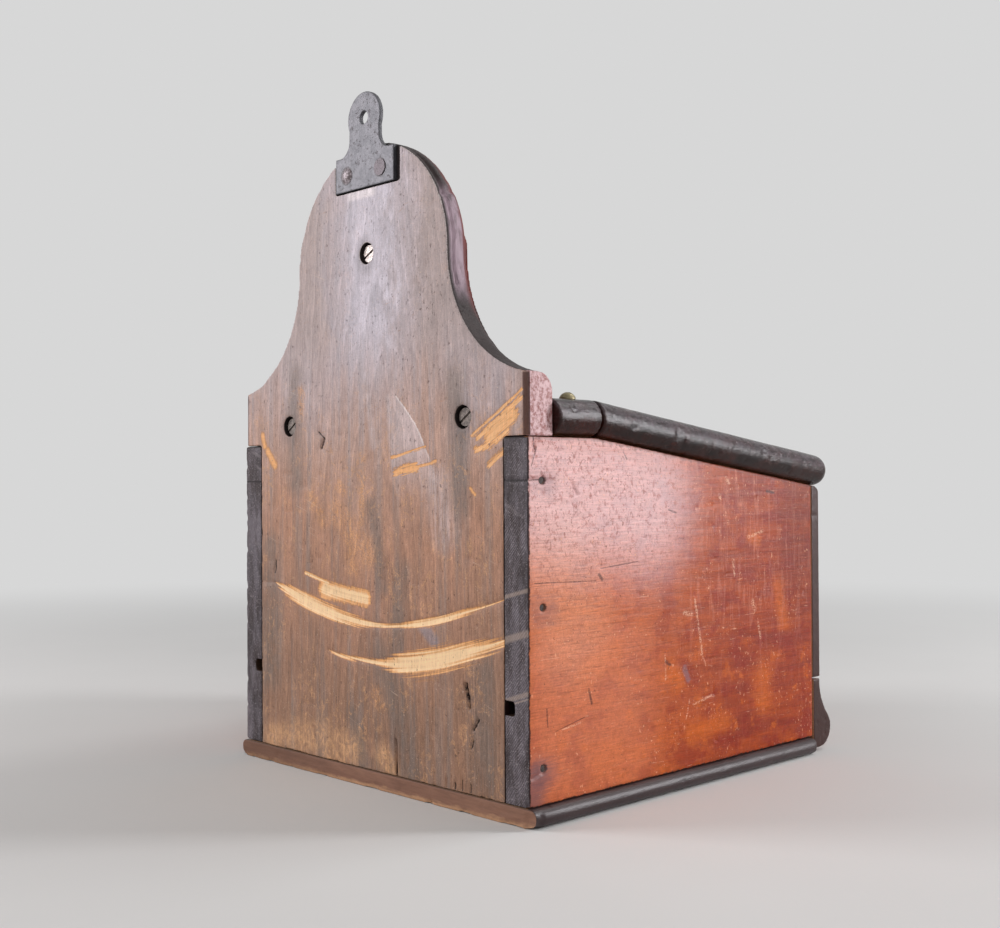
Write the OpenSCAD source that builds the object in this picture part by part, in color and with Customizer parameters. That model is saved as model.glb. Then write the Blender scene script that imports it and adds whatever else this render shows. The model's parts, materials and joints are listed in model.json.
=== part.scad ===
// Wall-hanging salt box: a boarded case with a shaped crest, a sloping hinged lid over the
// salt compartment, and a shallow drawer with a moulded front below it.
// Millimetres. Z is up, the rear face looks along +Y and the front along -Y.
// The origin is under the middle of the whole box, on the surface that it stands on.

/* [Case] */
// Width over the outside of the two side boards
case_w = 231; // [200:1:260]
// Depth from the rear face to the front ends of the side boards
case_d = 235; // [200:1:260]
// Height of the side boards at the rear, above the base board
side_h = 170; // [150:1:200]
// Thickness of the side boards
side_t = 16; // [12:0.5:20]
// Thickness of the back board
back_t = 17.4; // [15:0.2:22]
// Thickness of the front board
front_t = 8; // [7:0.5:12]
// Rounding of the top front edge of the front board
front_round = 3.5; // [1:0.5:5]
// Thickness of the base board
base_t = 9.5; // [8.5:0.5:14]
// Overhang of the base board past each side
base_over = 4.5; // [2:0.5:8]
// How far the base board's front end sits back from the front ends of the sides
base_back = 2; // [0:0.5:4]

/* [Crest] */
// Height of the shoulders above the side boards
shoulder_h = 30; // [24:1:36]
// Height of the top of the crest above the side boards
crest_h = 155.7; // [142:0.1:168]
// Radius of the rounded head of the crest
crest_r = 61.2; // [54:0.1:66]
// Radius of the two coves below the head
cove_r = 63.9; // [54:0.1:80]
// Rounding of the front edge of the crest
crest_round = 9; // [4:0.5:11]
// Chamfer on the rear corners of the shoulders, on the rear face
arris = 2.5; // [1:0.5:4]
// The same chamfer, on the edge
arris_edge = 1.5; // [0.5:0.1:3]
// Diameter of the turned roundel on the front of the crest
roundel_d = 34; // [24:1:44]
// Thickness of the roundel
roundel_t = 8; // [7:0.5:9]

/* [Lid and rail] */
// Thickness of the lid and of the fixed rail behind it
lid_t = 18.5; // [16:0.5:22]
// Depth of the rail, from the back board to the lid
rail_d = 29.3; // [26:0.1:36]
// Gap between the rail and the lid
lid_gap = 1.6; // [1.2:0.1:2.4]
// Overhang of the lid and the rail past each side
lid_over = 4.75; // [3:0.25:7]
// Overhang of the lid past the front board
lid_front_over = 4.75; // [2:0.25:8]
// Fall of the lid towards the front, in degrees
lid_slope = 7.25; // [4:0.25:10]

/* [Hinges] */
// Length of each hinge
hinge_l = 38; // [32:1:46]
// Distance from each side of the case to the middle of the hinge
hinge_in = 49.5; // [40:0.5:60]
// Height of each leaf on the board's edge
leaf_h = 13; // [11:0.5:14]
// Thickness of each leaf
leaf_t = 1.6; // [1.4:0.1:1.8]
// Diameter of the hinge pins
pin_d = 2; // [1.6:0.1:2.2]

/* [Drawer] */
// Height of the drawer front's top above the base board
drawer_h = 33; // [30:0.5:37]
// Gap between the drawer front and the front board above it
part_gap = 0.8; // [0.6:0.1:1.6]
// Gap between the drawer front and the front ends of the side boards
seat_gap = 1; // [0.6:0.1:1.4]
// How far the moulded front hangs below the top of the base board
lip_drop = 7.2; // [5:0.1:8]
// How far the moulding stands out from the front board
bulge_out = 11.4; // [9:0.1:15]
// Radius of the rounded foot of the moulding
bulge_r = 11; // [9:0.5:13]
// Radius of the cove above it
mould_cove_r = 30; // [24:1:40]
// Thickness of the drawer's sides and back
drawer_t = 8; // [6:0.5:10]
// Thickness of the drawer's bottom
drawer_floor_t = 4.5; // [3.5:0.5:6]
// Clearance between the drawer's sides and the case, on each side
drawer_side_gap = 0.8; // [0.4:0.1:1.5]

/* [Divider] */
// Height of the divider's underside above the base board
divider_z = 41; // [39:0.5:60]
// Thickness of the divider board
divider_t = 6.4; // [5:0.2:9]
// Depth of the grooves that hold the divider in the side boards
dado_d = 6.5; // [4:0.5:9]

/* [Hanger] */
// Thickness of the steel hanger plate
plate_t = 2.5; // [1.6:0.1:3]
// Width of the plate's foot
foot_w = 48.4; // [45:0.1:54]
// Height of the plate's foot
foot_h = 18.4; // [14:0.1:22]
// Depth from the crest's top to the lower edge of the plate
foot_drop = 22.4; // [19:0.1:26]
// Width of the plate's neck
neck_w = 25; // [22:0.5:26]
// Radius of the rounded tab
tab_r = 13.5; // [13:0.1:15]
// Height of the tab's centre above the plate's lower edge
tab_rise = 36.8; // [33:0.1:40]
// Diameter of the hanging hole
hang_d = 6.5; // [5:0.1:9]
// Sideways offset of the plate from the middle of the crest
hanger_x = 3.6; // [0:0.1:5]

/* [Screws and nails] */
// Diameter of the counterbores in the back board
bore_d = 10.8; // [10:0.1:12]
// Depth of the counterbores
bore_depth = 4.5; // [4:0.1:6]
// Diameter of the slotted screw heads
head_d = 9; // [8:0.1:9.6]
// Diameter of the screw shanks
shank_d = 4.2; // [3.5:0.1:5]
// Height of the crest screw above the side boards
crest_screw_h = 98.6; // [90:0.1:104]
// Sideways offset of the crest screw from the middle of the crest
crest_screw_x = 2.2; // [0:0.1:5]
// Distance from each side of the case to the screw through the back into the rail
rail_screw_in = 44; // [38:0.5:56]
// Diameter of the round brass heads at the rail's ends
dome_d = 8; // [7:0.1:9]
// Height of the round brass heads
dome_h = 3.4; // [2.5:0.1:4]
// Distance of the rail's end screws from the rear face
dome_y = 35.6; // [30:0.1:38]
// Diameter of the nail heads
nail_head_d = 3.2; // [2.6:0.1:3.8]
// Diameter of the nail shanks
nail_d = 2.2; // [1.8:0.1:2.4]
// How deep the nail heads are punched below the surface
nail_sink = 0.8; // [0.4:0.1:1.5]

/* [Hidden] */
$fn = 96;

// Clearances
fit_gap = 0.05;        // round a screw, nail or pin in its hole
barrel_gap = 0.2;      // between a hinge barrel and the recess it turns in
knuckle_gap = 0.3;     // between neighbouring knuckles
run_gap = 0.3;         // under the drawer, on the base board
rest_gap = 0.02;       // under the front of the shut lid
cut = 1;               // how far a cutting shape runs past the face it opens

// Case
inner_w = case_w - 2 * side_t;
hinge_x = case_w / 2 - hinge_in;               // from the middle of the lid to each hinge
rail_screw_x = case_w / 2 - rail_screw_in;
hinge_y = back_t + rail_d + lid_gap / 2;       // distance of the hinge line from the rear face
lid_top_z = side_h + lid_t;                    // height of the hinge line
slope_run = case_d - hinge_y;
base_d = case_d - base_back;
side_front_h = side_h - slope_run * tan(lid_slope) - rest_gap;
front_y = case_d + front_t;                    // distance of the front face from the rear face
front_foot_z = drawer_h + part_gap;
front_top_z = side_h - (front_y - hinge_y) * tan(lid_slope) - rest_gap;

// Crest, in the plane of the back board
shoulder = [case_w / 2, side_h + shoulder_h];
head_c = [0, side_h + crest_h - crest_r];
head_to_shoulder = norm(shoulder - head_c);
// The cove touches the head from outside and ends on the shoulder's corner
cove_side = (pow(crest_r + cove_r, 2) - pow(cove_r, 2) + pow(head_to_shoulder, 2))
    / (2 * head_to_shoulder);
cove_off = sqrt(pow(crest_r + cove_r, 2) - pow(cove_side, 2));
along = (shoulder - head_c) / head_to_shoulder;
across = [-along[1], along[0]];
cove_c = head_c + cove_side * along + cove_off * across;
cove_start = atan2(cove_c[1] - head_c[1], cove_c[0] - head_c[0]);
cove_steps = 16;
head_steps = 44;
round_steps = 6;
function dir(a) = [cos(a), sin(a)];

// The turned roundel: the radii of the cove round its edge and of the groove in its face
roundel_edge = 3.4;
roundel_groove = 1.2;
roundel_groove_in = 7;                         // from its rim to the groove

// Lid, in its own plane: distance runs down the slope from the hinge line
nose_r = lid_t / 2;
lid_half_w = case_w / 2 + lid_over;
lid_reach = front_y + lid_front_over;
lid_nose = (lid_reach - nose_r - hinge_y + nose_r * sin(lid_slope)) / cos(lid_slope);

// Hinges
barrel_r = leaf_t + lid_gap / 2 - barrel_gap;
knuckle_l = (hinge_l - 2 * knuckle_gap) / 3;
leaf_screw_z = 8;                              // depth of the leaf's screws below the hinge line
leaf_screw_in = 8;                             // from the leaf's ends to its screws
leaf_screw_head_d = 5;
leaf_screw_head_h = 1.2;
leaf_screw_d = 2.4;
leaf_screw_l = 10;
leaf_slot_w = 0.7;
leaf_slot_depth = 0.5;

// Drawer
drawer_box_w = inner_w - 2 * drawer_side_gap;
drawer_side_h = drawer_h - 1.5;                // the sides stop short of the front's top
drawer_groove = drawer_t / 2 - 0.5;            // depth of the grooves for the bottom
drawer_nail_z = [14, 25];
drawer_floor_z = 3.5;
drawer_back_gap = 0.6;                         // behind the shut drawer
drawer_face_y = case_d + seat_gap;             // rear face of the drawer front
drawer_rear_y = back_t + drawer_back_gap;
housing_d = 3.5;                               // how deep the sides enter the front
bulge_c = [front_y + bulge_out - bulge_r, bulge_r - lip_drop];
mould_dz = sqrt(pow(mould_cove_r + bulge_r, 2)
    - pow(front_y + mould_cove_r - bulge_c[0], 2));
mould_cove_c = [front_y + mould_cove_r, bulge_c[1] + mould_dz];
mould_touch = bulge_c + bulge_r * (mould_cove_c - bulge_c) / norm(mould_cove_c - bulge_c);

// Hanger plate
plate_z = side_h + crest_h - foot_drop;
plate_flat = 3.5;                              // the straight top edge at each end of the foot
plate_cove_r = (foot_w - neck_w) / 2 - plate_flat;
foot_screw_y = 8.4;                            // height of its two screws above the lower edge
foot_screw_left = -13.3;
foot_screw_right = 14.6;
foot_screw_d = 8.6;
foot_screw_h = 1.2;                            // how far the proud head stands out
flat_screw_h = 0.4;                            // and the worn one
foot_shank_d = 3;
foot_shank_l = 12;
recess_side = 4.3;                             // the recess is wider than the plate on the left
recess_fit = 0.3;                              // and fits it closely on the right
recess_foot = 0.8;                             // it reaches a little below the plate's lower edge

// Screws and nails
head_h = 2.2;
slot_w = 1.2;
slot_depth = 1;
crest_slot_turn = 27;
rail_slot_turn = 35;
rail_screw_rise = 10.4;                        // above the rail's underside
end_screw_bite = 20;                           // how far the rail's end screws enter the sides
nail_head_t = 1;
nail_overlap = 0.5;                            // of a nail's shank with its head

// Outside size, which sets the origin
front_reach = front_y + bulge_out;
rear_reach = foot_screw_h;
rear_y = (front_reach - rear_reach) / 2;

// Places a shape drawn from the rear face and from the top of the base board
module placed() {
    translate([0, rear_y, base_t]) children();
}

// A copy on each side of the middle
module both_sides() {
    children();
    mirror([1, 0, 0]) children();
}

// A block from the rear distance y0 to y1, and from z0 to z1, centred across
module board(w, y0, y1, z0, z1) {
    translate([-w / 2, -y1, z0]) cube([w, y1 - y0, z1 - z0]);
}

// A drawing in distance from the rear face and height, extruded across the box
module across_box(w) {
    translate([-w / 2, 0, 0]) rotate([90, 0, 90]) linear_extrude(w) mirror([1, 0]) children();
}

// A drawing in width and height, extruded forwards from the rear distance y0
module forwards(y0, depth) {
    translate([0, -y0, 0]) rotate([90, 0, 0]) linear_extrude(depth) children();
}

// A rod along +X, +Y or +Z that starts at p
module rod(p, axis, len, d) {
    translate(p)
        rotate(axis == "x" ? [0, 90, 0] : axis == "y" ? [-90, 0, 0] : [0, 0, 0])
            cylinder(d = d, h = len, $fn = 48);
}

// A slotted screw that is sunk in a counterbore: its head rests on the counterbore's floor
module slotted_screw(len, turn) {
    difference() {
        translate([0, 0, -bore_depth]) {
            cylinder(d = head_d, h = head_h, $fn = 48);
            translate([0, 0, head_h - len]) cylinder(d = shank_d, h = len - head_h / 2, $fn = 48);
        }
        rotate([0, 0, turn]) translate([-head_d, -slot_w / 2, head_h - bore_depth - slot_depth])
            cube([2 * head_d, slot_w, head_h]);
    }
}

// A countersunk screw for a hinge leaf, with its face at the origin, looking along +Z
module leaf_screw() {
    difference() {
        union() {
            translate([0, 0, -leaf_screw_head_h])
                cylinder(d1 = leaf_screw_d, d2 = leaf_screw_head_d - 2 * fit_gap,
                    h = leaf_screw_head_h, $fn = 48);
            translate([0, 0, -leaf_screw_l]) cylinder(d = leaf_screw_d, h = leaf_screw_l - 1,
                $fn = 48);
        }
        translate([-leaf_screw_head_d, -leaf_slot_w / 2, -leaf_slot_depth])
            cube([2 * leaf_screw_head_d, leaf_slot_w, 1]);
    }
}

// A nail with its head's face at the origin, looking along +Z
module nail(len) {
    translate([0, 0, -nail_head_t]) cylinder(d = nail_head_d, h = nail_head_t, $fn = 32);
    translate([0, 0, -len]) cylinder(d = nail_d, h = len - nail_overlap, $fn = 32);
}

// The hole that a nail leaves, from the surface down
module nail_hole(len) {
    translate([0, 0, -nail_sink - nail_head_t]) cylinder(d = nail_head_d + 2 * fit_gap,
        h = nail_sink + nail_head_t + cut, $fn = 32);
    translate([0, 0, -nail_sink - len]) cylinder(d = nail_d + 2 * fit_gap, h = len, $fn = 32);
}

// Nails through each side board into the edge of the back board
side_nail_l = 42;
side_nail_y = 0.55 * back_t;
side_nail_z = [0.1 * side_h, 0.535 * side_h, 0.88 * side_h];
module at_side_nails() {
    for (z = side_nail_z)
        translate([-case_w / 2, -side_nail_y, z]) rotate([0, -90, 0]) children();
}

// Nails through the front board into the ends of the side boards
front_nail_l = 34;
module at_front_nails() {
    for (x = [-1, 1], k = [0.14, 0.5, 0.86])
        translate([x * (case_w - side_t) / 2, -front_y,
            front_foot_z + k * (front_top_z - front_foot_z)]) rotate([90, 0, 0]) children();
}

// Nails up through the base board into the side boards
base_nail_l = 32;
module at_base_nails() {
    for (x = [-1, 1], k = [0.15, 0.5, 0.85])
        translate([x * (case_w - side_t) / 2, -k * case_d, -base_t]) rotate([180, 0, 0]) children();
}

// Screws through the back board, two into the rail and one into the roundel
rail_screw_l = back_t + rail_d * 0.7 - bore_depth;
crest_screw_l = back_t + roundel_t * 0.7 - bore_depth;
module at_rail_screws() {
    for (x = [-1, 1])
        translate([x * rail_screw_x, 0, side_h + rail_screw_rise]) rotate([-90, 0, 0]) children();
}
module at_crest_screw() {
    translate([crest_screw_x, 0, side_h + crest_screw_h]) rotate([-90, 0, 0]) children();
}
module screw_hole(len) {
    translate([0, 0, -bore_depth]) cylinder(d = bore_d, h = bore_depth + cut, $fn = 64);
    translate([0, 0, -bore_depth - len]) cylinder(d = shank_d + 2 * fit_gap, h = len + cut,
        $fn = 48);
}

// Round-headed screws down through the ends of the rail into the side boards
end_screw_l = lid_t + end_screw_bite;
module at_end_screws() {
    for (x = [-1, 1])
        translate([x * (case_w - side_t) / 2, -dome_y, lid_top_z]) children();
}
module end_screw_hole() {
    translate([0, 0, -end_screw_l]) cylinder(d = shank_d + 2 * fit_gap, h = end_screw_l + cut,
        $fn = 48);
}

// Screws that hold the hanger plate, in the plane of the rear face
module at_hanger_screw(x) {
    translate([hanger_x + x, 0, plate_z + foot_screw_y]) rotate([-90, 0, 0]) children();
}
module foot_screw_hole() {
    translate([0, 0, -foot_shank_l - fit_gap])
        cylinder(d = foot_shank_d + 2 * fit_gap, h = foot_shank_l + cut, $fn = 32);
}

// Outline of the back board above the side boards: the right shoulder and cove, the head, and
// the left cove and shoulder. Its curves are drawn in by d, and its upright corners by c
function cove_points(d, c) =
    let (r = cove_r + d,
        first = 360 - acos((shoulder[0] - c - cove_c[0]) / r),
        last = 180 + cove_start)
    [for (i = [0:cove_steps]) cove_c + r * dir(first + (last - first) * i / cove_steps)];
function head_points(d) =
    [for (i = [1:head_steps - 1])
        head_c + (crest_r - d) * dir(cove_start + (180 - 2 * cove_start) * i / head_steps)];
function crest_points(d, c) =
    let (cove = cove_points(d, c))
    concat([[shoulder[0] - c, side_h]], cove, head_points(d),
        [for (i = [cove_steps:-1:0]) [-cove[i][0], cove[i][1]]], [[c - shoulder[0], side_h]]);

// The crest as rings from the rear face to the front face: the rear one draws in the chamfered
// corners, and the front ones the rounded edge
module crest_block() {
    rings = concat([[0, 0, arris], [arris_edge, 0, 0]], [for (i = [0:round_steps])
        [back_t - crest_round * (1 - sin(90 * i / round_steps)),
            crest_round * (1 - cos(90 * i / round_steps)), 0]]);
    n = len(crest_points(0, 0));
    last = len(rings) - 1;
    polyhedron(
        points = [for (ring = rings) for (q = crest_points(ring[1], ring[2]))
            [q[0], -ring[0], q[1]]],
        faces = concat(
            [[for (i = [0:n - 1]) i]],
            [[for (i = [n - 1:-1:0]) last * n + i]],
            [for (k = [0:last - 1]) for (i = [0:n - 1])
                [k * n + i, (k + 1) * n + i, (k + 1) * n + (i + 1) % n]],
            [for (k = [0:last - 1]) for (i = [0:n - 1])
                [k * n + i, (k + 1) * n + (i + 1) % n, k * n + (i + 1) % n]]));
}

// The recess that takes the foot of the hanger plate: a close fit on the right, and too wide
// on the left
module plate_recess() {
    translate([hanger_x - foot_w / 2 - recess_side, -plate_t, plate_z - recess_foot])
        cube([foot_w + recess_side + recess_fit, plate_t + cut, foot_drop + crest_r]);
}

module back_board() {
    placed() color("#7d6a58") difference() {
        union() {
            board(inner_w, 0, back_t, 0, side_h + shoulder_h / 2);
            crest_block();
        }
        plate_recess();
        at_rail_screws() screw_hole(rail_screw_l);
        at_crest_screw() screw_hole(crest_screw_l);
        at_hanger_screw(foot_screw_left) foot_screw_hole();
        at_hanger_screw(foot_screw_right) foot_screw_hole();
        both_sides() at_side_nails() nail_hole(side_nail_l);
    }
}

// A side board, drawn on the left; it is grooved for the divider right through to the rear
module side_board() {
    difference() {
        translate([side_t / 2 - case_w / 2, 0, 0]) across_box(side_t)
            polygon([[0, 0], [case_d, 0], [case_d, side_front_h], [hinge_y, side_h], [0, side_h]]);
        translate([-inner_w / 2 - dado_d, -case_d - cut, divider_z])
            cube([dado_d + cut, case_d + 2 * cut, divider_t]);
        at_side_nails() nail_hole(side_nail_l);
        at_front_nails() nail_hole(front_nail_l);
        at_base_nails() nail_hole(base_nail_l);
        at_end_screws() end_screw_hole();
    }
}
module left_side() {
    placed() color("#a8471f") side_board();
}
module right_side() {
    placed() color("#a8471f") mirror([1, 0, 0]) side_board();
}

module front_board() {
    placed() color("#54343a") difference() {
        across_box(case_w) difference() {
            polygon([[case_d, front_foot_z], [front_y, front_foot_z], [front_y, front_top_z],
                [case_d, side_front_h]]);
            translate([front_y - front_round, front_top_z - front_round]) difference() {
                square(front_round + cut);
                circle(front_round, $fn = 64);
            }
        }
        at_front_nails() nail_hole(front_nail_l);
    }
}

module base_board() {
    placed() color("#4a2a22") difference() {
        union() {
            board(case_w + 2 * base_over - base_t, 0, base_d, -base_t, 0);
            for (s = [-1, 1])
                rod([s * (case_w / 2 + base_over - base_t / 2), -base_d, -base_t / 2],
                    "y", base_d, base_t);
        }
        at_base_nails() nail_hole(base_nail_l);
    }
}

module divider_board() {
    placed() color("#a9825a") board(inner_w + 2 * dado_d, back_t, case_d, divider_z,
        divider_z + divider_t);
}

// The recess for one hinge leaf and its barrel, in an edge that lies gap past the hinge line
module hinge_recess() {
    for (s = [-1, 1])
        translate([s * hinge_x - hinge_l / 2, -hinge_y - lid_gap / 2 - leaf_t, lid_top_z - leaf_h])
            cube([hinge_l, lid_gap + 2 * leaf_t, leaf_h + cut]);
}

module lid_rail() {
    placed() color("#3a201b") difference() {
        union() {
            board(2 * (lid_half_w - nose_r), back_t, back_t + rail_d, side_h, lid_top_z);
            for (s = [-1, 1])
                rod([s * (lid_half_w - nose_r), -back_t - rail_d, side_h + nose_r],
                    "y", rail_d, lid_t);
        }
        hinge_recess();
        at_rail_screws() screw_hole(rail_screw_l);
        at_end_screws() end_screw_hole();
        at_leaf_screws(1) leaf_pilot();
    }
}

// The lid: its two side edges and its front edge are fully rounded
module lid_panel() {
    placed() color("#3a201b") difference() {
        translate([0, -hinge_y, side_h]) rotate([lid_slope, 0, 0]) {
            translate([-lid_half_w + nose_r, -lid_nose, 0])
                cube([2 * (lid_half_w - nose_r), lid_nose + lid_t, lid_t]);
            for (s = [-1, 1]) {
                rod([s * (lid_half_w - nose_r), -lid_nose, nose_r], "y", lid_nose + lid_t, lid_t);
                translate([s * (lid_half_w - nose_r), -lid_nose, nose_r])
                    sphere(nose_r, $fn = 96);
            }
            rod([-lid_half_w + nose_r, -lid_nose, nose_r], "x", 2 * (lid_half_w - nose_r), lid_t);
        }
        board(3 * case_w, -case_d, hinge_y + lid_gap / 2, 0, 2 * side_h);
        hinge_recess();
        at_leaf_screws(-1) leaf_pilot();
    }
}

// Screw places of both hinges: facing 1 is the rail's edge, -1 the lid's
module at_leaf_screws(facing) {
    for (s = [-1, 1], e = [-1, 1])
        translate([s * hinge_x + e * (hinge_l / 2 - leaf_screw_in),
            -hinge_y + facing * lid_gap / 2, lid_top_z - leaf_screw_z])
            rotate([facing * 90, 0, 0]) children();
}
module leaf_pilot() {
    translate([0, 0, -leaf_screw_l - fit_gap])
        cylinder(d = leaf_screw_d + 2 * fit_gap, h = leaf_screw_l + cut, $fn = 32);
}

// One leaf with its knuckles: facing 1 has the two outer knuckles, -1 the middle one
module hinge_leaf(s, facing) {
    x0 = s * hinge_x - hinge_l / 2;
    step = knuckle_l + knuckle_gap;
    own = facing == 1 ? [0, 2] : [1];
    other = facing == 1 ? [1] : [0, 2];
    face = facing == 1 ? lid_gap / 2 : -lid_gap / 2 - leaf_t;
    placed() color("#b08d4a") difference() {
        union() {
            difference() {
                translate([x0, -hinge_y + face, lid_top_z - leaf_h]) cube([hinge_l, leaf_t, leaf_h]);
                for (i = other)
                    rod([x0 + i * step - knuckle_gap, -hinge_y, lid_top_z], "x",
                        knuckle_l + 2 * knuckle_gap, 2 * (barrel_r + barrel_gap));
            }
            for (i = own) rod([x0 + i * step, -hinge_y, lid_top_z], "x", knuckle_l, 2 * barrel_r);
        }
        rod([x0 - cut, -hinge_y, lid_top_z], "x", hinge_l + 2 * cut, pin_d + 2 * fit_gap);
        at_leaf_screws(facing) {
            translate([0, 0, -leaf_screw_head_h])
                cylinder(d1 = leaf_screw_d + 2 * fit_gap, d2 = leaf_screw_head_d,
                    h = leaf_screw_head_h + 0.001, $fn = 48);
            leaf_pilot();
        }
    }
}
module hinge_rail_leaf_left() {
    hinge_leaf(-1, 1);
}
module hinge_rail_leaf_right() {
    hinge_leaf(1, 1);
}
module hinge_lid_leaf_left() {
    hinge_leaf(-1, -1);
}
module hinge_lid_leaf_right() {
    hinge_leaf(1, -1);
}

module hinge_pin(s) {
    placed() color("#8f8a80")
        rod([s * hinge_x - hinge_l / 2, -hinge_y, lid_top_z], "x", hinge_l, pin_d);
}
module hinge_pin_left() {
    hinge_pin(-1);
}
module hinge_pin_right() {
    hinge_pin(1);
}

module hinge_rail_screws() {
    placed() color("#b08d4a") at_leaf_screws(1) leaf_screw();
}
module hinge_lid_screws() {
    placed() color("#b08d4a") at_leaf_screws(-1) leaf_screw();
}

// A low turned disc on the front of the crest; the open lid leans back towards it
module crest_roundel() {
    placed() color("#3a201b") difference() {
        translate([crest_screw_x, -back_t, side_h + crest_screw_h]) rotate([90, 0, 0])
            rotate_extrude($fn = 96) difference() {
                square([roundel_d / 2, roundel_t]);
                translate([roundel_d / 2, roundel_t]) circle(roundel_edge, $fn = 48);
                translate([roundel_d / 2 - roundel_groove_in, roundel_t])
                    circle(roundel_groove, $fn = 32);
            }
        at_crest_screw() screw_hole(crest_screw_l);
    }
}

module hanger_plate() {
    placed() color("#9a9da3") difference() {
        forwards(0, plate_t) translate([hanger_x, plate_z]) difference() {
            union() {
                translate([-foot_w / 2, 0]) square([foot_w, foot_h]);
                difference() {
                    translate([-neck_w / 2 - plate_cove_r, foot_h - cut])
                        square([neck_w + 2 * plate_cove_r, plate_cove_r + cut]);
                    for (s = [-1, 1])
                        translate([s * (neck_w / 2 + plate_cove_r), foot_h + plate_cove_r])
                            circle(plate_cove_r, $fn = 64);
                }
                translate([-neck_w / 2, foot_h]) square([neck_w, tab_rise - foot_h]);
                translate([0, tab_rise]) circle(tab_r, $fn = 96);
            }
            translate([0, tab_rise]) circle(d = hang_d, $fn = 64);
        }
        for (x = [foot_screw_left, foot_screw_right])
            at_hanger_screw(x) foot_screw_hole();
    }
}

// The plate's two screws: the right head stands proud, the left one is worn nearly flat
module foot_shank() {
    translate([0, 0, -foot_shank_l]) cylinder(d = foot_shank_d, h = foot_shank_l, $fn = 32);
}
module hanger_screw_left() {
    placed() color("#85868a") at_hanger_screw(foot_screw_left) {
        cylinder(d = foot_screw_d, h = flat_screw_h, $fn = 48);
        foot_shank();
    }
}
module hanger_screw_right() {
    placed() color("#c8c4bc") at_hanger_screw(foot_screw_right) {
        intersection() {
            cylinder(d = foot_screw_d, h = foot_screw_h, $fn = 48);
            translate([0, 0, foot_screw_h - foot_screw_d]) sphere(foot_screw_d, $fn = 96);
        }
        foot_shank();
    }
}

module crest_screw() {
    placed() color("#c8c4bc") at_crest_screw() slotted_screw(crest_screw_l, crest_slot_turn);
}
module rail_rear_screws() {
    placed() color("#6a6560") at_rail_screws() slotted_screw(rail_screw_l, rail_slot_turn);
}

module rail_end_screws() {
    placed() color("#a08a55") at_end_screws() {
        difference() {
            intersection() {
                cylinder(d = dome_d, h = dome_h, $fn = 64);
                translate([0, 0, dome_h - dome_d / 2 - 0.3]) sphere(dome_d / 2 + 0.3, $fn = 96);
            }
            translate([-dome_d, -0.5, dome_h - 1]) cube([2 * dome_d, 1, 2]);
        }
        translate([0, 0, -end_screw_l + 1]) cylinder(d = shank_d, h = end_screw_l - 1, $fn = 48);
    }
}

module left_side_nails() {
    placed() color("#2d2826") at_side_nails() translate([0, 0, -nail_sink]) nail(side_nail_l);
}
module right_side_nails() {
    placed() color("#2d2826") mirror([1, 0, 0]) at_side_nails()
        translate([0, 0, -nail_sink]) nail(side_nail_l);
}
module front_board_nails() {
    placed() color("#2d2826") at_front_nails() translate([0, 0, -nail_sink]) nail(front_nail_l);
}
module base_nails() {
    placed() color("#2d2826") at_base_nails() translate([0, 0, -nail_sink]) nail(base_nail_l);
}

// The moulded drawer front: a cove above a rounded foot that hangs in front of the base board
module drawer_front() {
    placed() color("#4a2d30") difference() {
        across_box(case_w) difference() {
            union() {
                polygon([[drawer_face_y, -lip_drop], [bulge_c[0], -lip_drop], bulge_c,
                    mould_touch, [front_y, mould_cove_c[1]], [front_y, drawer_h],
                    [drawer_face_y, drawer_h]]);
                intersection() {
                    translate(bulge_c) circle(bulge_r, $fn = 96);
                    translate([drawer_face_y, -lip_drop]) square(drawer_h + lip_drop);
                }
            }
            translate(mould_cove_c) circle(mould_cove_r, $fn = 128);
        }
        both_sides() translate([drawer_box_w / 2 - drawer_t, -drawer_face_y - housing_d, run_gap])
            cube([drawer_t, housing_d + cut, drawer_side_h]);
        translate([-drawer_box_w / 2 + drawer_t, -drawer_face_y - housing_d, drawer_floor_z])
            cube([drawer_box_w - 2 * drawer_t, housing_d + cut, drawer_floor_t]);
    }
}
// A drawer side, drawn on the right
module drawer_side() {
    difference() {
        translate([drawer_box_w / 2 - drawer_t, -drawer_face_y - housing_d, run_gap])
            cube([drawer_t, drawer_face_y + housing_d - drawer_rear_y, drawer_side_h]);
        translate([drawer_box_w / 2 - drawer_t - cut, -drawer_face_y - housing_d - cut,
            drawer_floor_z])
            cube([drawer_groove + cut, drawer_face_y + housing_d, drawer_floor_t]);
        at_drawer_nails() nail_hole(drawer_nail_l);
    }
}
module drawer_right_side() {
    placed() color("#b08a5e") drawer_side();
}
module drawer_left_side() {
    placed() color("#b08a5e") mirror([1, 0, 0]) drawer_side();
}

// The drawer's back stands on its bottom, between its sides
module drawer_back() {
    placed() color("#b08a5e") difference() {
        board(drawer_box_w - 2 * drawer_t, drawer_rear_y, drawer_rear_y + drawer_t,
            drawer_floor_z + drawer_floor_t, run_gap + drawer_side_h);
        both_sides() at_drawer_nails() nail_hole(drawer_nail_l);
    }
}
module drawer_bottom() {
    placed() color("#b8946a") union() {
        board(drawer_box_w - 2 * drawer_t + 2 * drawer_groove, drawer_rear_y, drawer_face_y,
            drawer_floor_z, drawer_floor_z + drawer_floor_t);
        board(drawer_box_w - 2 * drawer_t, drawer_rear_y, drawer_face_y + housing_d,
            drawer_floor_z, drawer_floor_z + drawer_floor_t);
    }
}

// Nails through the drawer's sides into its back, drawn on the right
drawer_nail_l = 24;
module at_drawer_nails() {
    for (z = drawer_nail_z)
        translate([drawer_box_w / 2, -drawer_rear_y - drawer_t / 2, z]) rotate([0, 90, 0])
            children();
}
module drawer_nails() {
    placed() color("#2d2826") both_sides() at_drawer_nails() translate([0, 0, -nail_sink])
        nail(drawer_nail_l);
}

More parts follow.
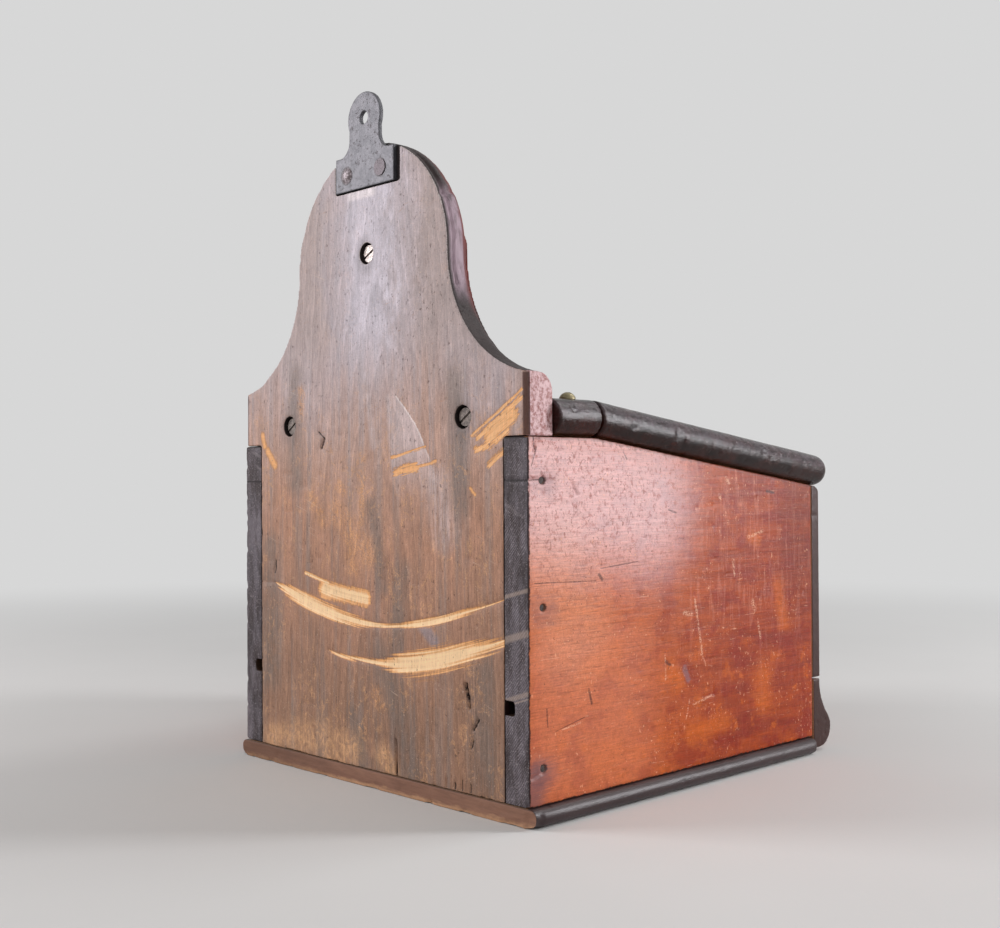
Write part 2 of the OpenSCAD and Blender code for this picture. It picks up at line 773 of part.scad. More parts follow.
back_board();
left_side();
right_side();
front_board();
base_board();
divider_board();
lid_rail();
crest_roundel();
hanger_plate();
hanger_screw_left();
hanger_screw_right();
crest_screw();
rail_rear_screws();
rail_end_screws();
left_side_nails();
right_side_nails();
front_board_nails();
base_nails();
hinge_rail_leaf_left();
hinge_rail_leaf_right();
hinge_pin_left();
hinge_pin_right();
hinge_rail_screws();
lid_panel();
hinge_lid_leaf_left();
hinge_lid_leaf_right();
hinge_lid_screws();
drawer_front();
drawer_left_side();
drawer_right_side();
drawer_back();
drawer_bottom();
drawer_nails();
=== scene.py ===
"""Looks of a wall-hanging salt box: its boards as worn meshes, its finishes, light and camera.

Places are in millimetres, measured from the middle of the rear face at the top of the base board:
x across, y along +Y out of the rear face (so the inside is negative), z up.
"""

import json
import math

import bmesh
import bpy
import numpy as np
from mathutils import Matrix, Vector


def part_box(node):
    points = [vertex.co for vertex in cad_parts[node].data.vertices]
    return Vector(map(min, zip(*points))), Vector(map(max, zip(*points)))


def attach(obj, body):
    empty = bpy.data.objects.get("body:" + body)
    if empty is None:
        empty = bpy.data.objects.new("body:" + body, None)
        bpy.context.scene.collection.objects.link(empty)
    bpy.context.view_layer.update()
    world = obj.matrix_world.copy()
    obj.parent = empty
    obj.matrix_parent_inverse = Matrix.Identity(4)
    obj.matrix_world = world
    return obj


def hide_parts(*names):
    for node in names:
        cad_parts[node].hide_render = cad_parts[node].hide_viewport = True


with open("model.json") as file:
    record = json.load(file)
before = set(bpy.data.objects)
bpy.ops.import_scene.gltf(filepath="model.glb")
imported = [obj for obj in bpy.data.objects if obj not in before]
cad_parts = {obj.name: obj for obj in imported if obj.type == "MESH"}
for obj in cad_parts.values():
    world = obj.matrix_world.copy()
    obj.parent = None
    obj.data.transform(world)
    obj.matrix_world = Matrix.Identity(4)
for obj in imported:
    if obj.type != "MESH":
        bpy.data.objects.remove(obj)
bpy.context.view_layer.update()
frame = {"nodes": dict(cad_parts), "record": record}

MM = 0.001
REAR_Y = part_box("back_board")[1].y
BASE_TOP_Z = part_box("base_board")[1].z
ORIGIN = Vector((0, REAR_Y, BASE_TOP_Z))
HALF_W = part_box("right_side")[1].x / MM
SIDE_T = (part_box("right_side")[1].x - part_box("right_side")[0].x) / MM
SIDE_H = (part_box("right_side")[1].z - BASE_TOP_Z) / MM
CREST_TOP = (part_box("back_board")[1].z - BASE_TOP_Z) / MM
PLATE_X = [corner.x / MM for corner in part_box("hanger_plate")]
PLATE_Z = (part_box("hanger_plate")[0].z - BASE_TOP_Z) / MM
RAIL_TOP = (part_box("lid_rail")[1].z - BASE_TOP_Z) / MM
SHOULDER_TOP = 204
# What faces the rear and lies less deep than this is on the rear face
REAR_SKIN = -1.5


def place(x, y, z):
    """A point given in the box's millimetres, in the frame's metres"""
    return ORIGIN + Vector((x, y, z)) * MM


# Camera: the viewpoint that was worked out from the edges of the box in the photograph
CAMERA_AT = (-530.4, 420.8, 150.0)
CAMERA_YAW, CAMERA_PITCH, CAMERA_ROLL = (math.radians(a) for a in (-44.19, 0.697, -0.295))
CAMERA_LENS = 46.66


def make_camera():
    forward = Vector((math.cos(CAMERA_YAW) * math.cos(CAMERA_PITCH),
                      math.sin(CAMERA_YAW) * math.cos(CAMERA_PITCH), math.sin(CAMERA_PITCH)))
    level = Vector((math.sin(CAMERA_YAW), -math.cos(CAMERA_YAW), 0))
    up = level.cross(forward)
    right = level * math.cos(CAMERA_ROLL) + up * math.sin(CAMERA_ROLL)
    up = right.cross(forward)
    data = bpy.data.cameras.new("camera")
    data.lens = CAMERA_LENS
    data.sensor_width = 36
    data.clip_start = 0.01
    camera = bpy.data.objects.new("camera", data)
    turn = Matrix((right, up, -forward)).transposed().to_4x4()
    camera.matrix_world = Matrix.Translation(place(*CAMERA_AT)) @ turn
    bpy.context.scene.collection.objects.link(camera)
    bpy.context.scene.camera = camera


# Colours are written as six hexadecimal digits, as they would be matched in flat light
def rgb(code):
    """A colour's linear values"""
    values = [int(code[i:i + 2], 16) / 255 for i in (0, 2, 4)]
    return [v / 12.92 if v <= 0.04045 else ((v + 0.055) / 1.055) ** 2.4 for v in values] + [1]


def add_node(tree, kind, inputs, **settings):
    """A new node. Each input is a socket to be linked, a value or a colour."""
    node = tree.nodes.new(kind)
    for key, value in settings.items():
        setattr(node, key, value)
    for key, value in inputs.items():
        if isinstance(value, bpy.types.NodeSocket):
            tree.links.new(value, node.inputs[key])
        else:
            node.inputs[key].default_value = rgb(value) if isinstance(value, str) else value
    return node


# Most of a noise's values lie between these
NOISE_LOW, NOISE_HIGH = 0.34, 0.66


class Shader:
    """Builds one material. Its methods add nodes and return their output sockets."""

    def __init__(self, name):
        self.material = bpy.data.materials.new(name)
        self.material.use_nodes = True
        self.tree = self.material.node_tree
        self.tree.nodes.clear()
        coordinates = self.node("ShaderNodeTexCoord", {})
        inputs = {"Vector": coordinates.outputs["Object"], "Scale": (1 / MM,) * 3,
                  "Location": -ORIGIN / MM}
        self.mm = self.node("ShaderNodeMapping", inputs).outputs[0]
        self.x, self.y, self.z = self.split(self.mm)
        self.nx, self.ny, self.nz = self.split(coordinates.outputs["Normal"])

    def node(self, kind, inputs, **settings):
        return add_node(self.tree, kind, inputs, **settings)

    def split(self, vector):
        return self.node("ShaderNodeSeparateXYZ", {0: vector}).outputs[:3]

    def math(self, operation, *values):
        return self.node("ShaderNodeMath", dict(enumerate(values)), operation=operation).outputs[0]

    def add(self, a, b):
        return self.math("ADD", a, b)

    def sub(self, a, b):
        return self.math("SUBTRACT", a, b)

    def mul(self, a, b):
        return self.math("MULTIPLY", a, b)

    def abs(self, a):
        """a without its sign"""
        return self.math("ABSOLUTE", a)

    def max(self, a, b):
        return self.math("MAXIMUM", a, b)

    def min(self, a, b):
        return self.math("MINIMUM", a, b)

    def above(self, a, b):
        """1 where a is above b, or else 0"""
        return self.math("GREATER_THAN", a, b)

    def below(self, a, b):
        """1 where a is below b, or else 0"""
        return self.math("LESS_THAN", a, b)

    def about(self, noise, amount):
        """Noise from 0 to 1 turned about 0, as a shift of up to half of amount either way"""
        return self.mul(self.sub(noise, 0.5), amount)

    def over(self, colour, share, top, amount=None):
        """The colour with another on top of it, by share and at most by amount"""
        if amount is not None:
            share = self.mul(share, amount)
        return self.mix(share, colour, top)

    def lay(self, share, top, amount=None):
        """Lays a colour over the material's own"""
        self.coat = self.over(self.coat, share, top, amount)

    def ramp(self, value, low, high, to_low=0.0, to_high=1.0):
        """value turned smoothly from to_low at low into to_high at high"""
        inputs = {0: value, 1: low, 2: high, 3: to_low, 4: to_high}
        return self.node("ShaderNodeMapRange", inputs, interpolation_type="SMOOTHSTEP").outputs[0]

    def band(self, value, centre, half, soft):
        """1 within half of the centre, 0 beyond half + soft"""
        off = self.abs(self.sub(value, centre))
        return self.ramp(off, half, half + soft, 1, 0)

    def noise(self, size, seed=0, detail=4, rough=0.6, distort=0.0, vector=None):
        """Noise from 0 to 1 whose blots measure about size, in millimetres along x, y and z"""
        scale = tuple(1 / s for s in size)
        inputs = {"Vector": vector or self.mm, "Scale": scale,
                  "Location": (seed * 7.31, seed * 3.17, seed * 5.73)}
        moved = self.node("ShaderNodeMapping", inputs).outputs[0]
        inputs = {"Vector": moved, "Scale": 1, "Detail": detail, "Roughness": rough,
                  "Distortion": distort}
        return self.node("ShaderNodeTexNoise", inputs).outputs[0]

    def mix(self, share, a, b):
        """Colour a turned into colour b by share"""
        return self.node("ShaderNodeMix", {0: share, 6: a, 7: b}, data_type="RGBA").outputs[2]

    def shade(self, colour, amount):
        """The colour made lighter or darker by a factor"""
        return self.node("ShaderNodeHueSaturation", {"Color": colour, "Value": amount}).outputs[0]

    def vary(self, noise, amount):
        """A factor from 1 - amount to 1 + amount that follows noise, which keeps near 0.5"""
        inputs = {0: noise, 1: NOISE_LOW, 2: NOISE_HIGH, 3: 1 - amount, 4: 1 + amount}
        return self.node("ShaderNodeMapRange", inputs).outputs[0]

    def root(self, a, b):
        """The root of the sum of two squares"""
        return self.math("SQRT", self.add(self.mul(a, a), self.mul(b, b)))

    def product(self, *values):
        total = values[0]
        for value in values[1:]:
            total = self.mul(total, value)
        return total

    def curve(self, value, points, low, high):
        """A drawn curve through points of (value, result), with the results from low to high"""
        first, last = points[0][0], points[-1][0]
        share = self.node("ShaderNodeMapRange", {0: value, 1: first, 2: last}).outputs[0]
        node = self.node("ShaderNodeFloatCurve", {1: share})
        line = node.mapping.curves[0]
        places = [((v - first) / (last - first), (r - low) / (high - low)) for v, r in points]
        line.points[0].location = places[0]
        line.points[1].location = places[-1]
        for spot in places[1:-1]:
            line.points.new(*spot)
        node.mapping.update()
        return self.node("ShaderNodeMapRange", {0: node.outputs[0], 3: low, 4: high}).outputs[0]

    def tilted(self, angle):
        """The coordinates turned about y, so that marks can run aslant across x and z"""
        inputs = {"Vector": self.mm, "Rotation": (0, angle, 0)}
        return self.node("ShaderNodeMapping", inputs).outputs[0]

    def stroke(self, plane, start, end, half, ragged=0.0, soft=0.25):
        """1 on a straight stroke from start to end in the plane "xz" or "yz", 0 off it"""
        u = self.x if plane == "xz" else self.y
        du, dv = end[0] - start[0], end[1] - start[1]
        length = math.hypot(du, dv)
        du, dv = du / length, dv / length
        mid_u, mid_v = (start[0] + end[0]) / 2, (start[1] + end[1]) / 2
        along = self.math("MULTIPLY_ADD", u, du, -mid_u * du - mid_v * dv)
        along = self.abs(self.math("MULTIPLY_ADD", self.z, dv, along))
        past = self.max(self.sub(along, length / 2), 0)
        across = self.math("MULTIPLY_ADD", u, -dv, mid_u * dv - mid_v * du)
        across = self.math("MULTIPLY_ADD", self.z, du, across)
        far = self.math("MULTIPLY_ADD", past, past, self.mul(across, across))
        far = self.math("SQRT", far)
        if ragged:
            far = self.math("MULTIPLY_ADD", self.fibre, 2 * ragged, self.sub(far, ragged))
        return self.ramp(far, half * (1 - soft), half * (1 + soft), 1, 0)

    def strokes(self, plane, marks, ragged=0.5, soft=0.25):
        """The union of several strokes, each given as (start, end, half width)"""
        total = None
        for start, end, half in marks:
            mask = self.stroke(plane, start, end, half, half * ragged, soft)
            total = mask if total is None else self.max(total, mask)
        return total

    def bump(self, height, distance):
        """Small relief: height from 0 to 1 stands for distance in millimetres"""
        inputs = {"Height": height, "Distance": distance * MM, "Strength": 1}
        return self.node("ShaderNodeBump", inputs).outputs[0]

    def finish(self, roughness, normal, specular=0.5, metallic=0.0):
        inputs = {"Base Color": self.coat, "Roughness": roughness, "Normal": normal,
                  "Metallic": metallic, "Specular IOR Level": specular}
        surface = self.node("ShaderNodeBsdfPrincipled", inputs).outputs[0]
        self.node("ShaderNodeOutputMaterial", {0: surface})
        return self.material


# Marks on the rear face, as (start, end, half width) with places (x, z): bare wood shows there
SHOULDER_SCRAPES = [
    ((-78, 171), (-112, 191.5), 0.9),
    ((-82, 170), (-111, 188), 1.6),
    ((-90, 170), (-105, 180), 5.2),
    ((-95, 168), (-102, 173), 2.0),
    ((-81, 164.5), (-89, 166), 1.7),
    ((-90, 157), (-101, 164.5), 1.7),
]
SHOULDER_SLANT = -0.541
MIDDLE_SCRAPES = [
    ((-21, 154), (-37, 156.8), 2.4),
    ((-36, 156.5), (-52, 159.5), 0.9),
    ((-18, 161.6), (-44, 166.6), 0.8),
]
MIDDLE_SLANT = -0.19
ARC_SCRAPES = [
    ((40, 91.4), (4, 88.4), 5.4),
    ((57, 99.3), (36, 94.8), 1.2),
]
EDGE_SCRAPES = [
    ((98, 176), (96, 170), 2.0),
    ((93, 167), (86, 159), 2.4),
    ((-77, 146), (-80, 143), 0.9),
]
PALE_FOOT = [((90, 5), (70, 9), 6.5), ((66, 8), (40, 12), 8), ((36, 7), (16, 9), 8), ((-10, 9), (-16, 3), 6)]
WARM_AREAS = [
    ((26, 147), (22, 143), 3.0),
    ((28, 133), (2, 112), 7.0),
    ((17, 126), (14, 104), 5.0),
    ((6.5, 164), (7, 128), 3.0),
    ((60, 200), (60, 187), 3.0),
    ((-5, 40), (-7, 35), 3.4),
    ((52, 142), (40, 128), 4.0),
    ((-72, 62), (-80, 66), 3.0),
]
COOL_STREAKS = [((-15, 192), (-20, 154), 1.8), ((3, 205), (-3, 168), 2.2), ((-52, 148), (-58, 124), 8)]
GREY_AREAS = [
    ((66, 208), (66, 150), 7.0),
    ((-66, 200), (-70, 140), 7.0),
    ((-1, 137), (-11, 96), 4.6),
    ((-12, 58), (-32, 4), 8.5),
    ((15, 27), (4, 2), 4.6),
    ((-26, 104), (-20, 64), 6.0),
    ((90, 112), (90, 40), 8.0),
    ((-84, 60), (-86, 10), 9.0),
]
ARC_HIGH = [(-104, 96), (-99, 94.1), (-72.2, 86.4), (-47.1, 80.1), (-22.3, 76.3), (-3.8, 75.1),
            (19.4, 76.9), (52.2, 82.7), (70, 87.3), (86, 92.5)]
ARC_HIGH_HALF = [(-104, 1.0), (-95, 1.3), (-72, 2.0), (-50, 2.8), (-32, 2.6), (-22, 1.8), (-16, 1.5),
                 (-8, 1.9), (14, 2.8), (36, 3.9), (56, 4.3), (74, 3.2), (86, 1.0)]
ARC_HIGH_FRESH = [(-104, 0.4), (-90, 0.62), (-60, 0.9), (-40, 0.9), (-24, 0.62), (-12, 0.7), (8, 0.95),
                  (40, 1.05), (70, 1.0), (80, 0.75), (86, 0.3)]
ARC_LOW = [(-101, 74.5), (-98.8, 73.9), (-72, 66.6), (-46.9, 60.3), (-20.4, 56.6), (7.8, 56.2),
           (24, 56.8), (37, 59.2)]
ARC_LOW_HALF = [(-101, 3.4), (-90, 4.4), (-70, 5.4), (-48, 6.2), (-30, 5.6), (-18, 4.0), (-4, 2.4),
                (14, 1.8), (28, 1.6), (37, 0.8)]
ARC_LOW_FRESH = [(-101, 0.55), (-80, 0.85), (-50, 1.1), (-24, 1.0), (-10, 0.8), (14, 0.75),
                 (30, 0.6), (37, 0.3)]

# Slits and nicks in the rear face, as (start, end, half width, depth)
SLITS = [
    ((-73.0, 52), (-74.6, 46), 0.9, 3),
    ((-74.6, 46.5), (-75.6, 41), 0.6, 2),
    ((-81.6, 36.2), (-78.2, 31), 0.55, 1.6),
    ((-78.0, 26), (-76.6, 22), 0.4, 1.0),
    ((44.3, 176.4), (39.2, 172.4), 0.5, 1.0),
    ((39.4, 172.6), (42, 167.8), 0.7, 1.6),
    ((-20.6, 19), (-21, -1), 0.4, 5),
    ((-59, 1), (-59, 5), 0.35, 1),
    ((-65, 1), (-65, 4), 0.35, 1),
    ((-70, 1), (-70, 6), 0.35, 1),
    ((-76, 1), (-76, 5), 0.35, 1),
    ((85, 105), (86, 98), 0.5, 0.8),
]
TONGUE_EDGE = [(140, -49), (148, -52), (154, -51), (168, -43.4), (174, -40.1), (184, -31.4), (194, -21)]


def weathering_and_sheen(s):
    """The rear face's ground colour: brown at the foot, pale grey on the crest; the grey is partly bleaching
    and partly a painted sheen, and the darker foot is partly painted shade
    """
    level = s.add(s.z, s.about(s.noise((30, 40, 70), 3, 3, 0.5), 120))
    colour = s.mix(s.ramp(level, 30, 120), "97725C", "AD8068")
    colour = s.over(colour, s.ramp(level, 110, 180), "B38F7F")
    return s.over(colour, s.ramp(level, 165, 240), "B5A5A8")


def growth_rings(s, u, depth, spacing, wander=5, reach=(12, 60, 90)):
    """Rings round a pith that lies at depth behind the surface: 0 to 1 across each ring"""
    warp = s.about(s.noise(reach, 1, 3, 0.55), 2 * wander)
    return s.math("FRACT", s.math("DIVIDE", s.add(s.root(u, depth), warp), spacing))


def bore_places():
    """Middles of the counterbores on the rear face, from the screws in them"""
    found = [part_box("crest_screw")]
    low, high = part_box("rail_rear_screws")
    head = high.z - low.z
    found += [(low, Vector((low.x + head, 0, high.z))), (Vector((high.x - head, 0, low.z)), high)]
    return [((a.x + b.x) / 2 / MM, ((a.z + b.z) / 2 - BASE_TOP_Z) / MM) for a, b in found]


def arc_scrape(s, line, halves, fresh):
    """How fresh the wood is in a curved scrape, from 0 to 1, in streaks that follow it"""
    centre = s.curve(s.x, line, 50, 100)
    half = s.curve(s.x, halves, 0, 10)
    share = s.math("DIVIDE", s.abs(s.sub(s.z, centre)), half)
    level = s.sub(s.mul(s.curve(s.x, fresh, 0, 2), 1.2), share)
    level = s.add(level, s.add(s.about(s.arc_lines, 2.3), s.about(s.fibre, 0.4)))
    inside = s.mul(s.above(s.x, line[0][0]), s.below(s.x, line[-1][0]))
    return s.mul(s.ramp(level, -0.15, 0.9), inside)


def streaked(s, plane, marks, lines, uneven=2.4):
    """Bare streaks in and around some strokes, thinning out at their edges"""
    level = s.add(s.strokes(plane, marks, 0.4, 0.9), s.about(lines, uneven))
    return s.ramp(level, 0.3, 1.05)


def scraped_wood(s):
    """All scrapes of the rear face, 0 to 1"""
    centre = s.curve(s.x, ARC_HIGH, 50, 100)
    run = s.node("ShaderNodeCombineXYZ", {0: s.x, 1: 0, 2: s.sub(s.z, centre)}).outputs[0]
    s.arc_lines = s.noise((60, 1, 0.9), 8, 4, 0.62, vector=run)
    bare = arc_scrape(s, ARC_HIGH, ARC_HIGH_HALF, ARC_HIGH_FRESH)
    bare = s.max(bare, arc_scrape(s, ARC_LOW, ARC_LOW_HALF, ARC_LOW_FRESH))
    bare = s.max(bare, streaked(s, "xz", ARC_SCRAPES, s.arc_lines, 0.6))
    lines = s.noise((10, 1, 0.7), 21, 4, 0.66, vector=s.tilted(SHOULDER_SLANT))
    bare = s.max(bare, s.mul(streaked(s, "xz", SHOULDER_SCRAPES, lines), 0.72))
    lines = s.noise((12, 1, 0.8), 22, 3, 0.6, vector=s.tilted(MIDDLE_SLANT))
    bare = s.max(bare, s.mul(streaked(s, "xz", MIDDLE_SCRAPES, lines), 0.6))
    return s.max(bare, s.mul(s.strokes("xz", EDGE_SCRAPES, 0.9, 0.8), 0.5))


def aged_back():
    s = Shader("aged_back")
    s.fibre = s.noise((1.1, 1.1, 15), 0, 4, 0.62)
    fine = s.noise((0.85, 0.85, 4.5), 2, 3, 0.6)
    grit = s.noise((0.8, 0.8, 0.6), 6, 2, 0.6)
    cloud = s.noise((8, 12, 13), 4, 5, 0.62)
    crust = s.noise((5, 5, 6), 23, 5, 0.68, 1.4)
    ring = growth_rings(s, s.add(s.x, 8), s.add(s.mul(s.z, 0.13), s.add(s.y, 12)), 5.6)

    s.coat = weathering_and_sheen(s)
    columns = s.ramp(s.noise((6, 30, 150), 5, 4, 0.6, 0.3), 0.46, 0.66)
    grey = s.mix(s.ramp(s.z, 120, 210), "877B76", "ABA0A4")
    s.lay(columns, grey, 0.5)
    smudges = s.strokes("xz", GREY_AREAS, 0.7, 0.8)
    s.lay(s.mul(smudges, s.ramp(cloud, 0.3, 0.6, 0.25, 0.7)), "766860")
    # painted sheen, partly pale weathering: the crest's middle is made pale cool grey and its flanks browner
    aside = s.abs(s.add(s.x, s.about(cloud, 40)))
    high = s.ramp(s.z, 185, 240)
    s.lay(s.mul(s.ramp(aside, 30, 8, 0, 0.6), high), "CEC8D4")
    s.lay(s.mul(s.ramp(aside, 26, 50, 0, 0.7), high), "A28D86")
    patches = s.mul(s.ramp(crust, 0.52, 0.62), s.ramp(s.z, 215, 150, 0.15, 1))
    patches = s.mul(patches, s.ramp(s.noise((26, 20, 30), 24, 2, 0.5), 0.46, 0.58))
    s.lay(s.mul(patches, s.ramp(grit, 0.35, 0.6, 0.2, 0.6)), "CC9A70")
    warm = s.mul(s.strokes("xz", WARM_AREAS, 0.9, 0.9), s.ramp(crust, 0.4, 0.58, 0.25, 1))
    s.lay(s.mul(warm, s.ramp(grit, 0.35, 0.6, 0.25, 0.65)), "D69A68")
    cool = s.mul(s.strokes("xz", COOL_STREAKS, 0.8, 0.9), s.ramp(s.fibre, 0.35, 0.6, 0.3, 1))
    s.lay(cool, "CFC8CF", 0.38)
    pale_foot = s.mul(s.strokes("xz", PALE_FOOT, 0.5, 0.9), s.ramp(crust, 0.38, 0.6, 0.35, 1))
    s.lay(pale_foot, "DAA87C", 0.74)
    smear = s.stroke("xz", (-42, 77), (-50, 71), 3.4, 1.4, 0.5)
    s.lay(smear, "8D8790", 0.6)
    under_plate = s.mul(s.band(s.x, 6, 9, 5), s.band(s.z, PLATE_Z - 3, 1.4, 2.2))
    s.lay(under_plate, "E6DADB", 0.7)

    edge = s.curve(s.z, TONGUE_EDGE, -60, -10)
    past = s.add(s.sub(s.x, edge), s.about(s.fibre, 2.4))
    tongue = s.product(s.ramp(past, -0.3, 0.6), s.ramp(s.x, -14, -28), s.ramp(s.z, 138, 172),
                       s.ramp(s.z, 196, 190))
    s.lay(tongue, "D0C0C2", 0.6)
    lip = s.product(s.band(past, 0.7, 0.3, 0.6), s.ramp(s.z, 154, 172), s.below(s.z, 193))
    s.lay(lip, "EADCD8", 0.6)

    bands = s.noise((3.2, 20, 60), 26, 3, 0.6)
    tone = s.product(s.vary(s.fibre, 0.12), s.vary(fine, 0.11), s.vary(grit, 0.1),
                     s.vary(cloud, 0.1), s.vary(bands, 0.07))
    late = s.sub(1.02, s.mul(s.ramp(ring, 0.25, 0.9), 0.1))
    tone = s.mul(tone, s.add(late, s.mul(s.band(ring, 0.96, 0.05, 0.06), 0.2)))
    s.coat = s.shade(s.coat, tone)

    # fresh wood in the scrapes: orange at their edges, cream where they are deep
    on_rear = s.mul(s.ramp(s.ny, 0.5, 0.8), s.above(s.y, -1.4))
    bare = s.mul(scraped_wood(s), on_rear)
    fresh = s.mix(s.ramp(bare, 0.15, 0.6), "B27C4E", "F0B074")
    fresh = s.over(fresh, s.ramp(bare, 0.6, 1.0), "FFD8A8")
    fresh = s.shade(fresh, s.product(s.vary(fine, 0.07), s.vary(s.arc_lines, 0.08), s.vary(s.fibre, 0.07)))
    s.lay(s.ramp(bare, 0.02, 0.4), fresh)

    # pale nicks, dark pits, thin scratches and slits
    specks = s.ramp(s.noise((0.9, 0.9, 1.3), 10, 2, 0.5), 0.67, 0.75)
    s.lay(specks, "DCC0AA", 0.45)
    pits = s.ramp(s.noise((1.2, 1.2, 2.6), 11, 3, 0.6), 0.64, 0.73)
    s.lay(pits, "4E3E38", 0.55)
    thin = s.ramp(s.noise((34, 1, 0.8), 25, 2, 0.5, vector=s.tilted(0.32)), 0.7, 0.76)
    s.lay(thin, "DCC0AC", 0.35)
    slits = s.strokes("xz", [mark[:3] for mark in SLITS], 0.3, 0.4)
    s.lay(slits, "1E1512", 0.85)
    bores = None
    for x, z in bore_places():
        hole = s.stroke("xz", (x, z), (x, z + 0.01), 6.3, 0, 0.1)
        stain = s.mul(s.stroke("xz", (x, z), (x, z - 4), 7.5, 2.0, 0.5), 0.3)
        s.lay(stain, "4A403E")
        bores = hole if bores is None else s.max(bores, hole)

    # the edges and the front are varnished; a band on the crest's edge, worn by rubbing, is painted pale
    # mauve-grey as sheen, and the shoulders' side faces are painted pale pink as sheen
    varnish = s.mix(s.noise((9, 9, 16), 12), "150909", "2A1413")
    front = s.ramp(s.ny, -0.3, -0.8)
    red = s.mul(s.ramp(s.y, -8, -13), s.max(s.ramp(s.z, 225, 245), front))
    varnish = s.over(varnish, s.mul(red, s.ramp(bands, 0.35, 0.65, 0.5, 0.8)), "72231D")
    varnish = s.over(varnish, s.mul(front, s.ramp(cloud, 0.44, 0.62, 0, 0.5)), "3A1410")
    varnish = s.shade(varnish, tone)
    # painted sheen, partly real wear from rubbing: a pale mauve-grey band along the crest's edge
    rubbed_and_sheen = s.mul(s.band(s.z, 268, 18, 16), s.band(s.y, -7, 3.4, 2.5))
    sheen_scuffs = s.ramp(s.noise((3, 3, 14), 13), 0.3, 0.6, 0.35, 1)
    varnish = s.over(varnish, s.mul(rubbed_and_sheen, sheen_scuffs), "A08A94")
    # painted sheen: the shoulders' side faces are painted pale pink where the light is mirrored
    shoulder = s.mul(s.ramp(s.z, SHOULDER_TOP, SHOULDER_TOP - 5),
                     s.ramp(s.abs(s.x), HALF_W - 2.4, HALF_W - 1.2))
    pink = s.mix(s.ramp(s.noise((2.0, 2.0, 2.0), 14, 4, 0.7), 0.34, 0.62), "9E6864", "DAB8BA")
    varnish = s.mix(shoulder, varnish, pink)
    side_edge = s.sub(1, s.ramp(s.ny, 0.45, 0.8))
    s.lay(side_edge, varnish)
    dark_corner = s.product(s.ramp(s.abs(s.x), HALF_W - 3.6, HALF_W - 2.6), s.above(s.y, -2.2),
                            s.band(s.z, 185, 14, 1))
    s.lay(dark_corner, s.shade("4A2A25", s.add(0.4, s.fibre)), 0.85)
    rim = s.product(s.ramp(s.ny, 0.3, 0.5), s.ramp(s.ny, 0.97, 0.9), s.above(s.y, -1.6),
                    s.above(s.z, SHOULDER_TOP - 1), s.ramp(s.z, 235, 265, 0.55, 1))
    s.lay(s.mul(rim, s.ramp(grit, 0.36, 0.6, 0.3, 0.85)), "DCD0CE")
    inside = s.mul(s.below(s.ny, -0.5), s.below(s.z, SIDE_H))
    s.lay(inside, s.shade("A07E5E", tone))
    # painted shade: the walls and floors of the counterbores and of the plate's recess are painted dark
    recess = s.product(s.above(s.x, PLATE_X[0] - 5.2), s.below(s.x, PLATE_X[1] + 0.6),
                       s.above(s.z, PLATE_Z - 1.2))
    recess_shade = s.product(s.max(bores, recess), s.below(s.y, -0.55), s.above(s.y, -6))
    s.lay(recess_shade, "1D1715", 0.92)

    height = s.add(s.add(s.mul(s.fibre, 0.5), s.mul(fine, 0.5)), s.mul(grit, 0.3))
    height = s.sub(height, s.add(s.mul(bare, 0.5), s.mul(pits, 0.8)))
    normal = s.bump(height, 0.26)
    rough = s.add(0.4, s.mul(s.fibre, 0.2))
    return s.finish(rough, normal, specular=0.27)


# Nails of the side boards, as (y, z) of the visible side
NAILS = [(-10.3, 149.6), (-10.3, 91), (-10.3, 17)]
SIDE_LIGHT_MARKS = [
    ((-22.5, 33.2), (-36.4, 35), 0.35),
    ((-118.9, 35.4), (-116, 26), 0.4),
    ((-122, 32.5), (-138, 35.5), 0.5),
    ((-124, 87), (-130, 58), 0.7),
    ((-130, 57), (-133, 52), 0.5),
    ((-115, 80.5), (-121, 79.5), 1.1),
    ((-146, 141), (-147, 139), 0.9),
    ((-152, 150), (-155, 148), 1.0),
    ((-176, 82), (-178, 78), 1.3),
    ((-181, 70), (-183, 62), 0.7),
    ((-158, 106), (-159, 98), 0.8),
    ((-172, 118), (-186, 121), 0.8),
    ((-99, 60), (-99.5, 48), 0.5),
]
SIDE_DARK_MARKS = [
    ((-11.3, 150.3), (1, 149.4), 0.3),
    ((-6.1, 165), (-2.7, 156.3), 0.35),
    ((-3, 176), (-5, 164), 0.5),
    ((-108.9, 132.6), (-102.4, 134.2), 0.45),
    ((-67.3, 163.5), (-70, 160), 0.4),
    ((-4.3, 102.4), (-46.2, 101.3), 0.25),
    ((-50, 107), (-78, 109), 0.25),
    ((-49, 104), (-51, 101.5), 0.9),
    ((-41, 50), (-43, 43), 0.7),
    ((-36, 172), (-52, 169), 0.6),
    ((-100, 57), (-103, 55), 0.9),
    ((-190, 143), (-197, 142), 0.7),
    ((-12, 44), (-12.6, 36), 0.4),
    ((-18, 33), (-38, 37), 0.2),
]
# Nicks that are cut into the board too, as (start, end, half width, depth)
SIDE_NICKS = [
    ((-11.3, 150.3), (0.5, 149.4), 0.9, 0.7),
    ((-3.5, 163), (-7.6, 176), 0.8, 0.5),
    ((-30, 148), (-33, 143), 1.0, 0.5),
    ((-9, 15.5), (-2, 13.5), 1.2, 0.5),
]
SIDE_BLUE_MARKS = [((-115, 52), (-118, 46), 1.8)]
